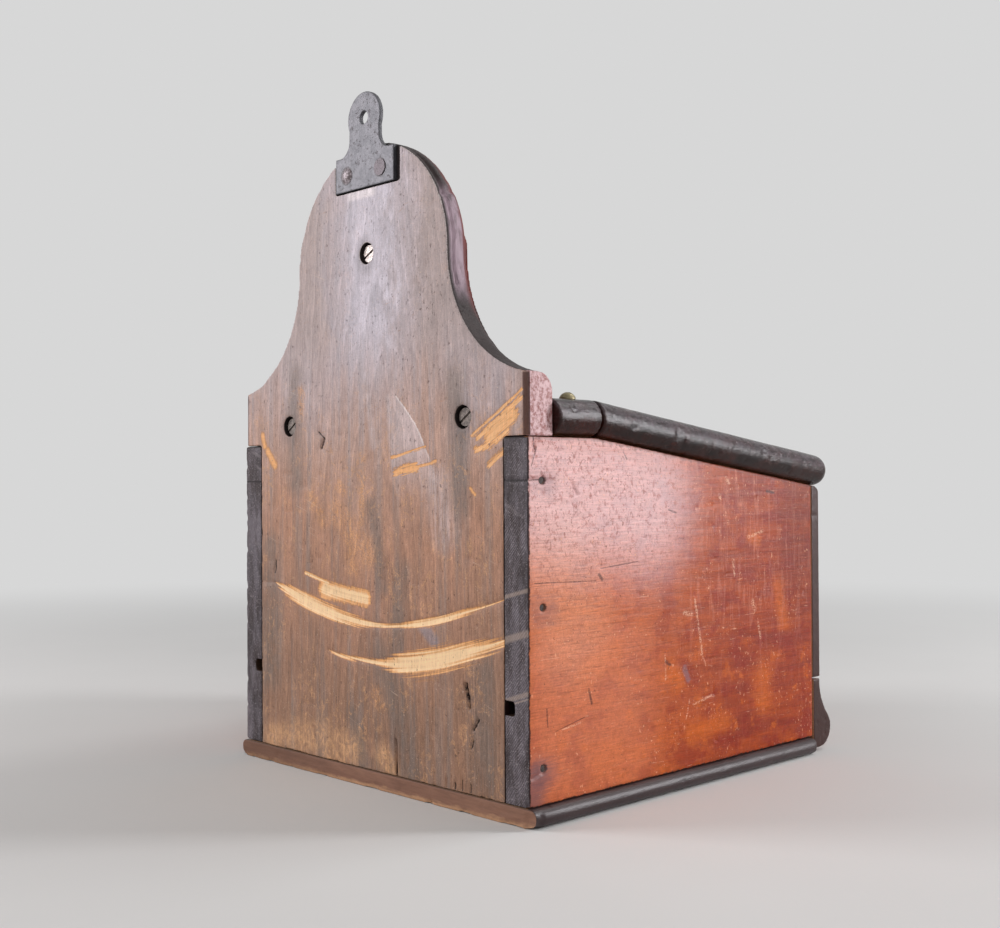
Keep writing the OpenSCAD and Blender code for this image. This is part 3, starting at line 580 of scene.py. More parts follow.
# Pale marks on the side board's rear end, with places (x, z)
END_MARKS = [
    ((-98, 95), (-117, 100), 0.9),
    ((-98, 75), (-117, 80.5), 1.6),
    ((-99, 47), (-117, 53), 1.1),
    ((-99, 44.6), (-117, 50.6), 0.4),
]
SIDE_GLOWS = [
    ((-48.4, 14), (-73, 16), 7),
    ((-184.7, 40), (-186, 28), 9),
    ((-175, 118), (-180, 116), 3.6),
    ((-104, 52), (-110, 46), 5),
    ((-60, 66), (-40, 58), 6),
    ((-120, 18), (-150, 20), 5),
    ((-200, 90), (-206, 70), 5),
]


def polished_side():
    s = Shader("polished_side")
    s.fibre = s.noise((0.9, 9, 0.75))
    pores = s.noise((0.8, 13, 0.62), 2, 3, 0.55)
    grit = s.noise((0.8, 1.0, 0.7), 5, 2, 0.6)
    figure = s.noise((30, 80, 8), 3, 4, 0.6, 0.6)
    cloud = s.noise((14, 16, 13), 4, 4, 0.62)
    mottle = s.noise((3.4, 3.4, 3.2), 6, 5, 0.68)
    back_share = s.ramp(s.y, -180, -50)

    s.coat = s.mix(s.ramp(figure, 0.35, 0.65), "842604", "A03C02")
    # partly painted light: the side's rear part is made lighter and warmer, as the light falls off towards
    # the front
    s.lay(back_share, "C8642C", 0.8)
    deep = s.mul(s.ramp(cloud, 0.48, 0.62), s.ramp(s.y, -60, -170, 0.35, 0.8))
    s.lay(deep, "861F04")
    glow = s.strokes("yz", SIDE_GLOWS, 1.2, 0.8)
    glow = s.max(s.mul(glow, 0.8), s.mul(s.ramp(cloud, 0.44, 0.34), s.ramp(s.z, 90, 30, 0.1, 0.7)))
    s.lay(glow, "CE620A", 0.75)

    # painted sheen, partly a real haze in the worn varnish: pale pink patches at the side's upper rear and
    # below it
    sheen_bloom = s.stroke("yz", (-6, 150), (-84, 138), 34, 8, 0.75)
    low_sheen_bloom = s.stroke("yz", (-18, 112), (-30, 80), 24, 8, 0.75)
    s.lay(low_sheen_bloom, "E8A27C", 0.34)
    s.lay(sheen_bloom, "EFD4DA", 0.54)
    low_haze = s.mul(s.band(s.y, -42, 26, 40), s.band(s.z, 40, 26, 30))
    s.lay(low_haze, "DC9680", 0.22)
    veil = s.mul(s.ramp(mottle, 0.53, 0.66), s.ramp(s.y, -60, -200, 0.05, 0.12))
    drips = s.ramp(s.noise((8, 3.6, 26), 7, 5, 0.66, 0.8), 0.5, 0.62)
    veil = s.add(veil, s.mul(drips, s.ramp(s.y, -85, -140, 0, 0.24)))
    veil = s.mul(veil, s.ramp(s.z, 20, 130, 0.2, 1.0))
    s.lay(veil, "DC9680")
    worn = s.mul(s.ramp(mottle, 0.48, 0.36), s.ramp(s.z, 70, 160, 0.1, 0.6))
    s.lay(worn, "A2452E")
    # painted shade: darker near the front edge, high on the side
    fore = s.mul(s.ramp(s.y, -188, -222), s.ramp(s.z, 50, 110))
    s.lay(fore, "5E1C0E", 0.4)
    tone = s.product(s.vary(s.fibre, 0.08), s.vary(pores, 0.09), s.vary(grit, 0.08), s.vary(mottle, 0.07))
    s.coat = s.shade(s.coat, tone)

    # dark pores and nicks, red-brown dabs high at the rear, pale chips towards the front
    lines = s.mul(s.ramp(pores, 0.4, 0.3), s.band(s.z, 78, 24, 40))
    s.lay(lines, "6E2A18", 0.34)
    dabs = s.ramp(s.noise((3.4, 3.0, 4.4), 20, 5, 0.7, 1.6), 0.565, 0.63)
    dabs = s.product(dabs, s.ramp(s.y, -125, -60, 0.2, 1), s.ramp(s.z, 70, 135, 0.05, 0.72))
    s.lay(dabs, "8A4436")
    nicks = s.ramp(s.noise((1.2, 1.5, 1.1), 9, 3, 0.6), 0.65, 0.73)
    s.lay(nicks, "4E1E14", 0.55)
    chips = s.ramp(s.noise((1.4, 1.7, 2.0), 10, 3, 0.6), 0.61, 0.72)
    chips = s.mul(chips, s.ramp(s.noise((20, 20, 20), 18, 3, 0.6), 0.44, 0.58, 0.06, 0.7))
    s.lay(chips, "EEAE88")
    hairs = s.ramp(s.noise((1, 14, 0.9), 21, 2, 0.5, 1.2), 0.7, 0.76)
    s.lay(hairs, "F0B896", 0.4)
    for y, z in NAILS:
        halo = s.stroke("yz", (y + 4, z), (y - 4, z - 2), 6, 4, 0.8)
        ring = s.stroke("yz", (y, z), (y, z + 0.01), 1.9, 1.2, 0.3)
        s.lay(halo, "6A5A64", 0.28)
        s.lay(ring, "1C1414", 0.85)
    soot = s.stroke("yz", (-2, 1), (-6, 14), 7, 4, 0.8)
    s.lay(soot, "5E4F58", 0.6)
    light_marks = s.mul(s.strokes("yz", SIDE_LIGHT_MARKS, 1.0, 0.8), s.ramp(grit, 0.4, 0.6))
    s.lay(light_marks, "F0BE9E", 0.6)
    s.lay(s.strokes("yz", SIDE_BLUE_MARKS, 0.8, 0.5), "7A6A76", 0.5)
    dark_marks = s.mul(s.strokes("yz", SIDE_DARK_MARKS, 1.0, 0.6), s.ramp(grit, 0.3, 0.55, 0.3, 1))
    s.lay(dark_marks, "2C1513", 0.75)
    edge_line = s.min(s.sub(0, s.y), s.add(s.z, 0.5))
    ragged = s.add(edge_line, s.about(s.noise((2, 2, 2.4), 11, 4, 0.7), 3.0))
    s.lay(s.ramp(ragged, 1.5, 0.8), "201517", 0.92)
    top_line = s.add(s.sub(SIDE_H, s.z), s.mul(s.min(s.add(s.y, 47), 0), 0.1272))
    top_line = s.add(top_line, s.about(mottle, 3))
    s.lay(s.ramp(top_line, 2.2, 0.8), "5A3432", 0.5)

    # rear ends of the boards: grey sawn end grain
    hatch = s.add(s.mul(s.x, 0.62), s.mul(s.z, 0.5))
    hatch = s.add(hatch, s.mul(s.noise((9, 9, 16), 12, 2, 0.5), 3))
    sawn = s.ramp(s.math("SINE", s.mul(hatch, 7.2)), -1, 1)
    sawn = s.mul(sawn, s.ramp(s.noise((12, 12, 30), 13, 2, 0.5), 0.35, 0.6))
    strip = s.mix(s.ramp(s.noise((5, 5, 18), 14, 4, 0.65), 0.3, 0.7), "463C3D", "746C72")
    strip = s.shade(strip, s.mul(s.add(0.72, s.mul(sawn, 0.55)), s.vary(grit, 0.2)))
    strip = s.over(strip, s.ramp(grit, 0.6, 0.7, 0, 0.4), "B4ACAE")
    strip = s.over(strip, s.strokes("xz", END_MARKS, 0.5, 0.5), "B29E92", 0.5)
    bands = s.ramp(s.noise((30, 30, 3.4), 16, 3, 0.6, vector=s.tilted(0.4)), 0.62, 0.74)
    strip = s.over(strip, bands, "948A8C", 0.35)
    inner = s.sub(s.abs(s.x), HALF_W - SIDE_T)
    rim = s.min(inner, s.sub(SIDE_T, inner))
    rim = s.add(rim, s.about(s.noise((2, 2, 5), 19, 4, 0.7), 0.9))
    strip = s.over(strip, s.ramp(rim, 0.8, 0.3), "151012", 0.85)
    strip = s.over(strip, s.ramp(s.z, SIDE_H - 1.4, SIDE_H - 0.5), "151012", 0.8)
    split = s.band(s.add(s.z, s.mul(s.fibre, 2)), 150.6, 0.25, 0.4)
    strip = s.over(strip, split, "1A1314", 0.8)

    rear_end = s.mul(s.ramp(s.ny, 0.5, 0.75), s.above(s.y, REAR_SKIN))
    outside = s.mul(s.above(s.abs(s.x), HALF_W - 2), s.ramp(s.abs(s.nx), 0.4, 0.7))
    raw = s.shade(s.mix(s.noise((5, 60, 5), 17), "7A4D36", "A2714E"), tone)
    groove = s.mul(s.above(s.y, -14), s.below(s.abs(s.x), HALF_W - 3))
    raw = s.over(raw, groove, "100C0B", 0.9)
    s.coat = s.mix(rear_end, s.mix(outside, raw, s.coat), strip)

    height = s.add(s.add(s.mul(s.fibre, 0.4), s.mul(mottle, 0.6)), s.mul(pores, 0.5))
    height = s.sub(height, s.mul(nicks, 0.8))
    height = s.add(height, s.product(sawn, rear_end, 0.9))
    normal = s.bump(height, 0.11)
    rough = s.add(s.add(0.27, s.mul(mottle, 0.15)), s.mul(s.sub(1, outside), 0.3))
    return s.finish(rough, normal, specular=0.22)


def dark_wood(name):
    """Handled dark varnish, as on the lid and the rail, with a painted sheen on its upper curved edges and
    upward faces
    """
    s = Shader(name)
    s.fibre = s.noise((6, 3.2, 0.9), 0, 4, 0.65)
    grain = s.noise((34, 0.9, 0.9), 8, 4, 0.62)
    flat = s.ramp(s.abs(s.nz), 0.9, 0.97)
    patches = s.noise((16, 12, 12), 1)
    s.coat = s.mix(s.ramp(patches, 0.38, 0.66), "180908", "30140F")
    red = s.ramp(s.noise((22, 20, 9), 2, 3, 0.6), 0.52, 0.7)
    s.lay(red, "40140C", 0.6)
    rubbed_and_sheen = s.ramp(s.noise((3, 3.4, 2.2), 3, 5, 0.7), 0.5, 0.72)
    # partly painted sheen: patches worn by rubbing are laid on more where the faces look up
    s.lay(s.mul(rubbed_and_sheen, s.ramp(s.nz, -0.4, 0.3, 0.03, 0.2)), "5C5054")
    # painted highlight, partly handling wear: the upper curve of the edges is painted mauve-grey
    rounding_sheen = s.mul(s.ramp(s.nz, -0.05, 0.34), s.ramp(s.nz, 0.95, 0.7))
    handled = s.ramp(s.noise((3, 5, 1.6), 7, 5, 0.7), 0.36, 0.62, 0.25, 1)
    s.lay(s.mul(rounding_sheen, handled), "8E8088", 0.3)
    raw = s.mix(s.ramp(s.noise((90, 6, 6), 9), 0.36, 0.64), "6A4832", "866248")
    beneath = s.mul(s.ramp(s.nz, -0.95, -0.97), s.below(s.z, RAIL_TOP))
    s.lay(beneath, raw)
    s.coat = s.shade(s.coat, s.product(s.vary(s.fibre, 0.14), s.vary(rubbed_and_sheen, 0.15), s.vary(grain, 0.2)))
    pits = s.ramp(s.noise((1.5, 1.8, 1.5), 4, 2, 0.5), 0.7, 0.78)
    s.lay(pits, "170E0D", 0.7)
    chips = s.ramp(s.noise((1.3, 1.6, 1.2), 5, 2, 0.5), 0.76, 0.8)
    s.lay(chips, "A8978F", 0.7)
    lumps = s.mul(s.noise((1.5, 2.4, 1.3), 6, 4, 0.66), s.add(0.2, s.mul(s.sub(1, flat), 0.6)))
    height = s.add(s.mul(s.add(s.fibre, grain), 0.4), lumps)
    height = s.sub(height, s.mul(pits, 0.6))
    normal = s.bump(height, 0.2)
    rough = s.add(0.17, s.mul(rubbed_and_sheen, 0.1))
    rough = s.add(rough, s.add(s.mul(s.fibre, 0.07), s.mul(beneath, 0.4)))
    return s.finish(rough, normal, specular=0.24)


def base_wood():
    """The base board: dark rounded sides, a bare rear edge and a raw underside"""
    s = Shader("base_wood")
    s.fibre = s.noise((9, 0.9, 0.9))
    long_fibre = s.noise((0.9, 12, 0.9), 1)
    dark = s.mix(s.noise((10, 30, 8), 2), "24191A", "483A3B")
    dark = s.shade(dark, s.add(0.75, s.mul(long_fibre, 0.5)))
    chips = s.ramp(s.noise((1.2, 2.2, 1.0), 3, 2, 0.5), 0.72, 0.78)
    dark = s.over(dark, chips, "9C8D84", 0.5)
    bare = s.mix(s.noise((26, 10, 5), 4), "6A483A", "A07660")
    low = s.add(s.z, s.about(s.noise((9, 9, 3), 5, 4, 0.7), 5))
    bare = s.over(bare, s.ramp(low, -6.5, -9), "C99B76", 0.75)
    bare = s.shade(bare, s.add(0.72, s.mul(s.fibre, 0.56)))
    bare = s.over(bare, s.ramp(s.x, 0, 100, 0, 0.5), "4E3020")
    line = s.ramp(s.z, -0.9, -0.3)
    bare = s.over(bare, line, "2B1C18", 0.8)
    rear = s.mul(s.ramp(s.ny, 0.4, 0.7), s.above(s.y, -2))
    rounded = s.above(s.abs(s.x), HALF_W - 1.5)
    raw = s.shade("8A6A52", s.add(0.75, s.mul(long_fibre, 0.5)))
    s.coat = s.mix(rear, s.mix(rounded, raw, dark), bare)
    height = s.add(s.mul(long_fibre, 0.4), s.mul(s.noise((1.5, 2, 1.5), 6), 0.5))
    normal = s.bump(height, 0.2)
    gloss = s.add(0.36, s.mul(chips, 0.1))
    return s.finish(s.add(gloss, s.mul(rear, 0.35)), normal, specular=0.35)


def front_wood():
    """The front board and the moulded drawer front: the sides' varnish, browner and more handled"""
    s = Shader("front_wood")
    s.fibre = s.noise((10, 0.9, 0.75))
    pores = s.noise((13, 0.8, 0.62), 1, 3, 0.55)
    grit = s.noise((1.0, 0.8, 0.7), 2, 2, 0.6)
    figure = s.noise((120, 30, 6), 3, 4, 0.6, 0.5)
    cloud = s.noise((18, 14, 13), 4, 4, 0.62)
    mottle = s.noise((3.6, 3.4, 3.2), 5, 5, 0.68)
    s.coat = s.mix(s.ramp(figure, 0.35, 0.65), "7E2E10", "94431C")
    s.lay(s.ramp(cloud, 0.48, 0.64, 0, 0.45), "622010")
    s.lay(s.ramp(cloud, 0.44, 0.32, 0, 0.4), "A8561E")
    s.lay(s.ramp(mottle, 0.52, 0.66, 0, 0.3), "A8604A")
    nose = s.mul(s.ramp(s.y, -246, -252), s.ramp(mottle, 0.4, 0.6, 0.3, 0.8))
    s.lay(nose, "A26A50")
    border = s.sub(HALF_W, s.abs(s.x))
    border = s.add(border, s.about(mottle, 8))
    s.lay(s.ramp(border, 1.5, 9, 0.6, 0), "3A1810")
    tone = s.product(s.vary(s.fibre, 0.12), s.vary(pores, 0.1), s.vary(grit, 0.08), s.vary(mottle, 0.06))
    s.coat = s.shade(s.coat, tone)
    lines = s.ramp(pores, 0.38, 0.3, 0, 0.4)
    s.lay(lines, "4E1C12")
    pits = s.ramp(s.noise((1.6, 1.4, 1.3), 6, 3, 0.6), 0.66, 0.74)
    s.lay(pits, "2B1512", 0.6)
    chips = s.ramp(s.noise((1.7, 1.4, 1.6), 7, 3, 0.6), 0.63, 0.72)
    s.lay(s.mul(chips, s.ramp(cloud, 0.42, 0.58, 0.1, 0.6)), "DCA184")
    end = s.ramp(s.abs(s.nx), 0.5, 0.8)
    grain = s.mix(s.noise((3, 3, 6), 8, 4, 0.65), "26110C", "482C28")
    s.lay(end, grain)
    rear = s.ramp(s.ny, 0.5, 0.8)
    s.lay(rear, s.shade("9A7458", tone))
    height = s.add(s.mul(s.fibre, 0.5), s.mul(mottle, 0.5))
    height = s.sub(s.add(height, s.mul(pores, 0.4)), s.mul(pits, 0.8))
    normal = s.bump(height, 0.12)
    rough = s.add(0.3, s.add(s.mul(mottle, 0.14), s.mul(rear, 0.3)))
    return s.finish(rough, normal, specular=0.24)


def bare_wood():
    """Unfinished wood of the inner boards"""
    s = Shader("bare_wood")
    s.fibre = s.noise((0.8, 9, 0.8))
    late = growth_rings(s, s.add(s.x, 10), s.add(s.z, 70), 3.6, 8, (50, 300, 60))
    s.coat = s.mix(s.noise((20, 90, 20), 2), "9B7650", "B8946A")
    s.coat = s.shade(s.coat, s.sub(s.add(0.86, s.mul(s.fibre, 0.3)), s.mul(late, 0.2)))
    stain = s.ramp(s.noise((18, 18, 12), 3, 4, 0.65), 0.55, 0.75)
    s.lay(stain, "6E5139", 0.4)
    normal = s.bump(s.add(s.fibre, s.mul(late, 0.5)), 0.14)
    return s.finish(s.add(0.6, s.mul(s.fibre, 0.2)), normal, specular=0.35)


def metal(name, dark, light, rust, size, rough, metallic, scratched=0.5, rings=()):
    """Worn metal: mottled between two colours, with tarnish in spots and fine scratches, and
    dark rings (x, z, radius); where there are rings, the edge faces are painted dark as shade"""
    s = Shader(name)
    cloud = s.noise((size,) * 3, 1)
    s.coat = s.mix(s.ramp(cloud, 0.36, 0.64), dark, light)
    grit = s.noise((max(size * 0.16, 0.5),) * 3, 2, 3, 0.7)
    lines = s.noise((0.6, 0.6, 9), 4, 3, 0.6, 0.3)
    s.coat = s.shade(s.coat, s.mul(s.vary(grit, 0.14), s.vary(lines, 0.08)))
    spots = s.ramp(s.noise((size * 0.4,) * 3, 3, 4, 0.7), 0.55, 0.68)
    s.lay(spots, rust, 0.55)
    for x, z, radius in rings:
        off = s.root(s.sub(s.x, x), s.sub(s.z, z))
        s.lay(s.band(off, radius, 0.5, 0.5), "3C3538", 0.7)
    if rings:
        # painted shade: the edge faces of the plate are painted dark
        edge_shade = s.ramp(s.abs(s.ny), 0.75, 0.35)
        s.lay(edge_shade, "3A3A3E", 0.75)
    height = s.add(s.mul(grit, 0.6), s.mul(lines, scratched))
    height = s.sub(height, s.mul(spots, 0.4))
    normal = s.bump(height, 0.07)
    roughness = s.add(rough, s.mul(s.add(spots, s.sub(cloud, 0.5)), 0.2))
    return s.finish(roughness, normal, metallic=metallic)


# Worn boards: each is the CAD board's own mesh, remade finely and pushed in where it is worn
BOARD_GRAIN = 0.8
RELAX_STEPS = 3


def lattice(points, size, seed):
    """Smooth noise from -1 to 1 at points (n, 3), whose blots measure about size millimetres"""
    scaled = points / np.array(size, float)
    cell = np.floor(scaled).astype(np.int64)
    part = scaled - cell
    part = part * part * (3 - 2 * part)
    total = np.zeros(len(points))
    for i in (0, 1):
        for j in (0, 1):
            for k in (0, 1):
                key = ((cell[:, 0] + i) * 73856093 + (cell[:, 1] + j) * 19349663
                       + (cell[:, 2] + k) * 83492791 + seed * 374761393)
                key = (key ^ (key >> 13)) * 1274126177 & 0xFFFFFFFF
                key = (key ^ (key >> 16)) & 0xFFFF
                share = np.where(i, part[:, 0], 1 - part[:, 0])
                share = share * np.where(j, part[:, 1], 1 - part[:, 1])
                share = share * np.where(k, part[:, 2], 1 - part[:, 2])
                total += share * (key / 32767.5 - 1)
    return total


def smooth(value, low, high):
    """0 at low and 1 at high, smoothly"""
    share = np.clip((value - low) / (high - low), 0, 1)
    return share * share * (3 - 2 * share)


def trough(u, v, start, end, half):
    """1 along the middle of a stroke in the plane of u and v, 0 from half away"""
    du, dv = end[0] - start[0], end[1] - start[1]
    length = math.hypot(du, dv)
    along = ((u - start[0]) * du + (v - start[1]) * dv) / length
    across = ((u - start[0]) * -dv + (v - start[1]) * du) / length
    past = np.maximum(np.maximum(-along, along - length), 0)
    return 1 - smooth(np.hypot(across, past), half * 0.4, half)


def dents(p, size, share, seed):
    """0 to 1: round hollows of about size millimetres, over about that share of the surface"""
    level = lattice(p, (size,) * 3, seed)
    return smooth(level, 0.75 - share, 0.95)


def worn_board(node, body, slot_name, material, wear, grain, keep):
    """A visible board in place of a CAD board, with vertices grain times BOARD_GRAIN apart of
    which the share keep stays. wear(p, n) gives how deep the surface lies, in millimetres, at
    points p with normals n."""
    mesh = frame["nodes"][node].data.copy()
    work = bmesh.new()
    work.from_mesh(mesh)
    bmesh.ops.remove_doubles(work, verts=work.verts, dist=1e-6)
    work.to_mesh(mesh)
    work.free()
    piece = bpy.data.objects.new(node + "_worn", mesh)
    bpy.context.scene.collection.objects.link(piece)
    remake = piece.modifiers.new("remake", "REMESH")
    remake.mode = "VOXEL"
    remake.voxel_size = BOARD_GRAIN * grain * MM
    relax = piece.modifiers.new("relax", "SMOOTH")
    relax.iterations = RELAX_STEPS
    settle(piece)
    count = len(piece.data.vertices)
    p = np.zeros(count * 3)
    n = np.zeros(count * 3)
    piece.data.vertices.foreach_get("co", p)
    piece.data.vertices.foreach_get("normal", n)
    p, n = p.reshape(-1, 3), n.reshape(-1, 3)
    mm = (p - np.array(ORIGIN)) / MM
    depth = np.maximum(wear(mm, n), 0)
    p -= n * depth[:, None] * MM
    piece.data.vertices.foreach_set("co", p.ravel())
    thin = piece.modifiers.new("thin", "DECIMATE")
    thin.ratio = keep
    settle(piece)
    piece.data.shade_smooth()
    piece.data.materials.clear()
    piece.data.materials.append(material)
    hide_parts(node)
    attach(piece, body)


def settle(piece):
    """Turns what the modifiers give into the piece's own mesh"""
    bpy.context.view_layer.update()
    graph = bpy.context.evaluated_depsgraph_get()
    mesh = bpy.data.meshes.new_from_object(piece.evaluated_get(graph))
    piece.modifiers.clear()
    piece.data = mesh


def arc_depth(x, z, line, halves):
    """1 in the middle of a curved scrape, 0 at its edges"""
    centre = np.interp(x, *zip(*line))
    half = np.interp(x, *zip(*halves), 0.01, 0.01)
    return 1 - smooth(np.abs(z - centre) / half, 0.4, 1.1)


def back_wear(p, n):
    x, y, z = p.T
    fibre = lattice(p, (1.3, 3, 15), 1) + 0.6 * lattice(p, (2.7, 3, 40), 2)
    broad = lattice(p, (24, 18, 60), 3)
    depth = 0.18 + 0.07 * fibre + 0.1 * broad
    rear = smooth(n[:, 1], 0.4, 0.8) * (y > REAR_SKIN)
    scraped = np.maximum(arc_depth(x, z, ARC_HIGH, ARC_HIGH_HALF), arc_depth(x, z, ARC_LOW, ARC_LOW_HALF))
    for start, end, half in SHOULDER_SCRAPES + MIDDLE_SCRAPES + ARC_SCRAPES:
        scraped = np.maximum(scraped, 0.5 * trough(x, z, start, end, half * 1.3))
    depth += 0.45 * scraped * rear
    for start, end, half, deep in SLITS:
        depth += deep * trough(x, z, start, end, half * 1.6) * rear
    depth += 0.25 * dents(p, 7, 0.1, 4) + 0.2 * dents(p, 3, 0.05, 5)
    edge = smooth(-n[:, 0], 0.35, 0.8) * (z > SHOULDER_TOP + 1) * (x < 0)
    groove = trough(y, z, (-4.2, CREST_TOP + 4), (-4.2, 293), 1.8)
    chip = trough(y, z, (-3, 291.5), (-11, 294.5), 2.6)
    line = trough(y, z, (-4.6, 290), (-4.2, 246), 0.9)
    above = smooth(z, 291, 295) * smooth(-y, 3.4, 5)
    depth += edge * (1.1 * groove + 0.9 * chip + 0.9 * line + 0.5 * above)
    depth += 0.35 * smooth(lattice(p, (5, 5, 7), 6), 0.45, 0.9) * smooth(1 - np.abs(n).max(1), 0.05, 0.25)
    return depth


def side_wear(p, n):
    x, y, z = p.T
    face = smooth(np.abs(n[:, 0]), 0.6, 0.9) * (np.abs(x) > HALF_W - 2)
    depth = 0.14 + 0.05 * lattice(p, (4, 20, 2.2), 1) + 0.1 * lattice(p, (20, 40, 24), 2)
    depth += face * (0.25 * dents(p, 4.5, 0.04, 3) + 0.3 * dents(p, 2.2, 0.02, 4))
    arris = (np.abs(x) > HALF_W - 1.8) * (y > -1.8)
    depth += arris * 0.5 * smooth(lattice(p, (3, 3, 5), 5) + 0.5 * lattice(p, (3, 3, 2), 6), 0.05, 0.9)
    low_arris = (np.abs(x) > HALF_W - 1.6) * (z < 1.6)
    depth += low_arris * 0.4 * smooth(lattice(p, (3, 5, 3), 7), 0.0, 0.9)
    rear = smooth(n[:, 1], 0.5, 0.8) * (y > REAR_SKIN)
    saw = np.sin((0.62 * x + 0.5 * z + 2 * lattice(p, (9, 9, 16), 8)) * 3.1)
    depth += rear * (0.05 + 0.05 * saw)
    for start, end, half, deep in SIDE_NICKS:
        depth += face * deep * trough(y, z, start, end, half)
    depth += rear * 0.6 * trough(x, z, (-HALF_W, 149.6), (-HALF_W + SIDE_T, 150.2), 0.8)
    return depth


def lid_wear(p, n):
    depth = 0.18 + 0.08 * lattice(p, (30, 16, 12), 1) + 0.05 * lattice(p, (9, 2, 2), 2)
    knocks = 0.35 * dents(p, 5, 0.16, 3) + 0.3 * dents(p, 2.6, 0.1, 4) + 0.22 * dents(p, 11, 0.2, 5)
    return depth + knocks * (1 - 0.85 * smooth(np.abs(n[:, 2]), 0.9, 0.98))


def base_wear(p, n):
    x, y, z = p.T
    depth = 0.15 + 0.07 * lattice(p, (6, 14, 3), 1) + 0.25 * dents(p, 4, 0.12, 2)
    rear_low = (y > -2.5) * smooth(-z, 5.5, 9)
    torn = smooth(lattice(p, (9, 5, 3), 3) + 0.5 * lattice(p, (3, 3, 2), 4), -0.1, 0.9)
    splinter = smooth(x, -72, -62) * (1 - smooth(x, -36, -30))
    depth += rear_low * torn * (0.5 + 1.0 * splinter)
    corner = smooth(-x, HALF_W - 4, HALF_W - 1) * smooth(y, -7, -3) * smooth(-z, 0.5, 5)
    depth += corner * (0.8 + 0.6 * torn)
    return depth


def front_wear(p, n):
    depth = 0.14 + 0.06 * lattice(p, (24, 6, 6), 1) + 0.05 * lattice(p, (9, 2, 2), 2)
    depth += 0.25 * dents(p, 4, 0.08, 3)
    return depth


def plate_wear(p, n):
    return 0.05 + 0.04 * lattice(p, (9, 6, 9), 1) + 0.1 * dents(p, 2.2, 0.05, 2)


def node_ring(node):
    """Middle (x, z) and radius of a round piece on the rear face"""
    low, high = ((corner - ORIGIN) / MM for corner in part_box(node))
    return (low.x + high.x) / 2, (low.z + high.z) / 2, (high.x - low.x) / 2


def light(name, position, aim, size, watts, colour=(1, 1, 1)):
    data = bpy.data.lights.new(name, "AREA")
    data.shape = "RECTANGLE"
    data.size, data.size_y = size
    data.energy = watts
    data.color = colour
    lamp = bpy.data.objects.new(name, data)
    lamp.location = place(*position)
    lamp.rotation_euler = (place(*aim) - lamp.location).to_track_quat("-Z", "Y").to_euler()
    bpy.context.scene.collection.objects.link(lamp)


# Strength of the room's light on the object, and of the pale room as it is seen or mirrored
ROOM_LIGHT, ROOM_SEEN = 0.26, 0.68


def seeing_rays(tree):
    """1 for the rays that see or mirror the room, 0 for those that light the object"""
    path = tree.nodes.new("ShaderNodeLightPath")
    seen = path.outputs["Is Camera Ray"]
    for ray in ("Is Glossy Ray", "Is Transmission Ray"):
        inputs = {0: seen, 1: path.outputs[ray]}
        seen = add_node(tree, "ShaderNodeMath", inputs, operation="MAXIMUM").outputs[0]
    return seen


def floor_paper():
    """Pale paper under the box, which runs out into the room's own tone further off"""
    s = Shader("floor")
    tone = s.noise((260, 260, 260), 1, 3, 0.5)
    colour = s.mix(tone, "D4D3D1", "E0DFDD")
    inputs = {"Base Color": colour, "Roughness": s.add(0.85, s.mul(tone, 0.1)),
              "Normal": s.bump(s.noise((2, 2, 2), 0, 3, 0.55), 0.05), "Specular IOR Level": 0.1}
    paper = s.node("ShaderNodeBsdfPrincipled", inputs).outputs[0]
    room = s.node("ShaderNodeEmission", {"Strength": ROOM_SEEN}).outputs[0]
    share = s.mul(s.ramp(s.root(s.x, s.y), 420, 1500), seeing_rays(s.tree))
    surface = s.node("ShaderNodeMixShader", {0: share, 1: paper, 2: room}).outputs[0]
    s.node("ShaderNodeOutputMaterial", {0: surface})
    return s.material


def studio():
    """A pale room: an even surround, four soft lights and a pale floor"""
    world = bpy.data.worlds.new("studio")
    bpy.context.scene.world = world
    world.use_nodes = True
    tree = world.node_tree
    tree.nodes.clear()
    inputs = {0: seeing_rays(tree), 3: ROOM_LIGHT, 4: ROOM_SEEN}
    strength = add_node(tree, "ShaderNodeMapRange", inputs).outputs[0]
    surface = add_node(tree, "ShaderNodeBackground", {0: "FFFFFF", 1: strength}).outputs[0]
    add_node(tree, "ShaderNodeOutputWorld", {0: surface})
    light("rear", (980, 930, 640), (0, 0, 170), (0.65, 0.65), 12.6, (1, 0.98, 1))
    light("side", (-1030, -1115, 510), (-120, -56, 142), (0.3, 0.85), 15, (0.98, 0.97, 1))
    light("high", (-438, -1010, 1415), (-60, -60, 150), (0.6, 0.6), 5)
    light("near", (-1250, 900, 900), (-60, -60, 120), (0.8, 0.8), 5)
    bpy.ops.mesh.primitive_circle_add(vertices=64, radius=3, fill_type="NGON", location=(0, 0, 0))
    floor = bpy.context.object
    floor.name = "floor"
    floor.data.materials.append(floor_paper())


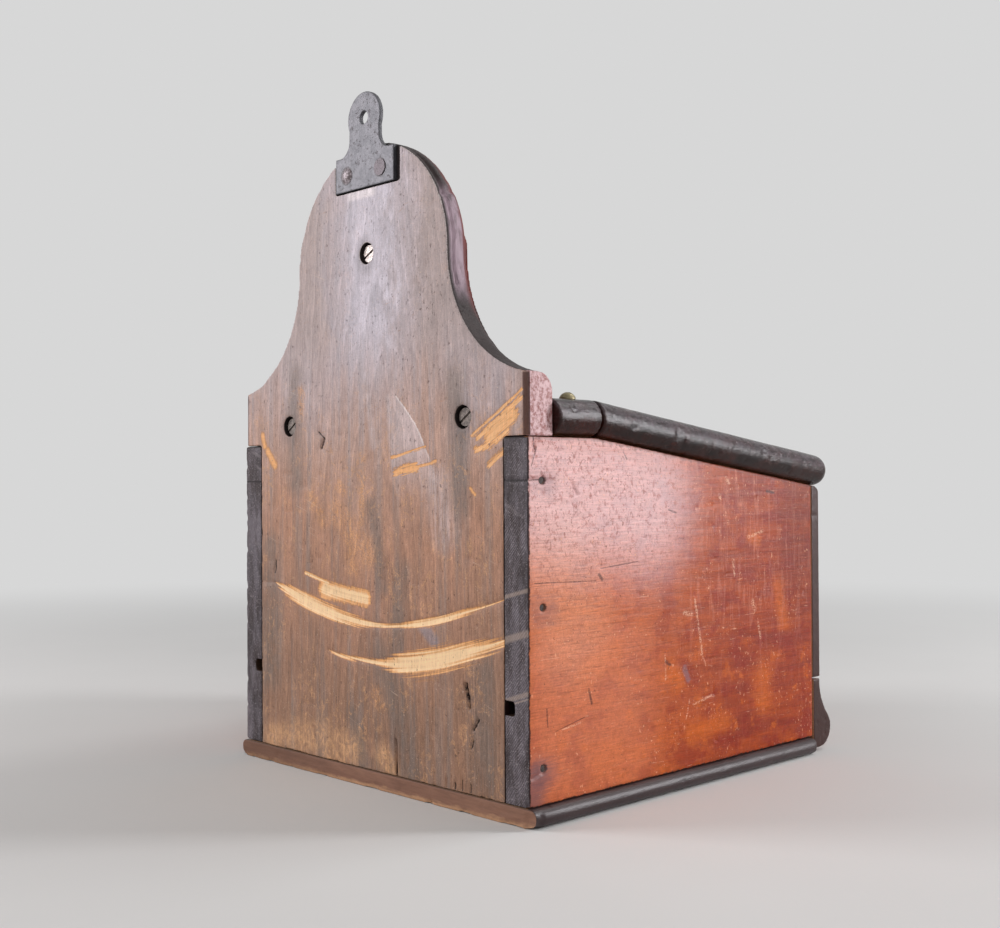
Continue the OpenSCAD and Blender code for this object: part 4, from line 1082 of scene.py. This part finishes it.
def main():
    back = aged_back()
    side = polished_side()
    lid = dark_wood("dark_lid")
    front = front_wood()
    bare = bare_wood()
    rings = [node_ring("hanger_screw_left"), node_ring("hanger_screw_right")]
    plate = metal("plate_steel", "56555B", "757379", "514646", 5, 0.5, 0.3, rings=rings)
    flush = metal("flush_screw", "60575C", "786E74", "504448", 1.8, 0.55, 0.3)
    steel = metal("worn_steel", "8A807C", "BDB2AC", "5A4238", 1.6, 0.4, 0.55)
    domed = metal("domed_screw", "5A4F50", "A0959A", "3E3232", 1.5, 0.42, 0.4)
    dull = metal("dull_screws", "5C524E", "8C8078", "3E322C", 1.7, 0.6, 0.25)
    brass = metal("aged_brass", "7C7258", "9C9070", "5A5140", 5, 0.4, 0.6, 0.3)
    iron = metal("nail_iron", "2A2524", "4A413E", "5A3428", 1.2, 0.6, 0.4)

    boards = [
        ("back_board", "box", "aged_back", back, back_wear, 1, 0.22),
        ("left_side", "box", "polished_side", side, side_wear, 1, 0.2),
        ("right_side", "box", "polished_side", side, side_wear, 1.25, 0.15),
        ("lid_panel", "lid", "dark_wood", lid, lid_wear, 1.1, 0.2),
        ("lid_rail", "box", "dark_wood", dark_wood("dark_rail"), lid_wear, 1, 0.3),
        ("crest_roundel", "box", "dark_wood", dark_wood("dark_roundel"), lid_wear, 1, 0.4),
        ("base_board", "box", "dark_wood", base_wood(), base_wear, 1, 0.2),
        ("front_board", "box", "front_wood", front, front_wear, 1.1, 0.2),
        ("drawer_front", "drawer", "front_wood", front, front_wear, 1, 0.25),
        ("hanger_plate", "box", "plate_steel", plate, plate_wear, 0.45, 0.4),
    ]
    for board in boards:
        worn_board(*board)

    finishes = {"bare_wood": bare, "plate_steel": plate, "worn_steel": steel, "aged_brass": brass,
                "nail_iron": iron}
    own = {"hanger_screw_right": domed, "hanger_screw_left": flush, "rail_rear_screws": dull}
    for part in frame["record"]["subparts"]:
        name = part["node"]
        if name not in [board[0] for board in boards]:
            data = frame["nodes"][name].data
            data.materials.clear()
            data.materials.append(own.get(name) or finishes[part["material_slot"]])
    studio()
    make_camera()


main()
bpy.context.scene.view_settings.view_transform = "Standard"
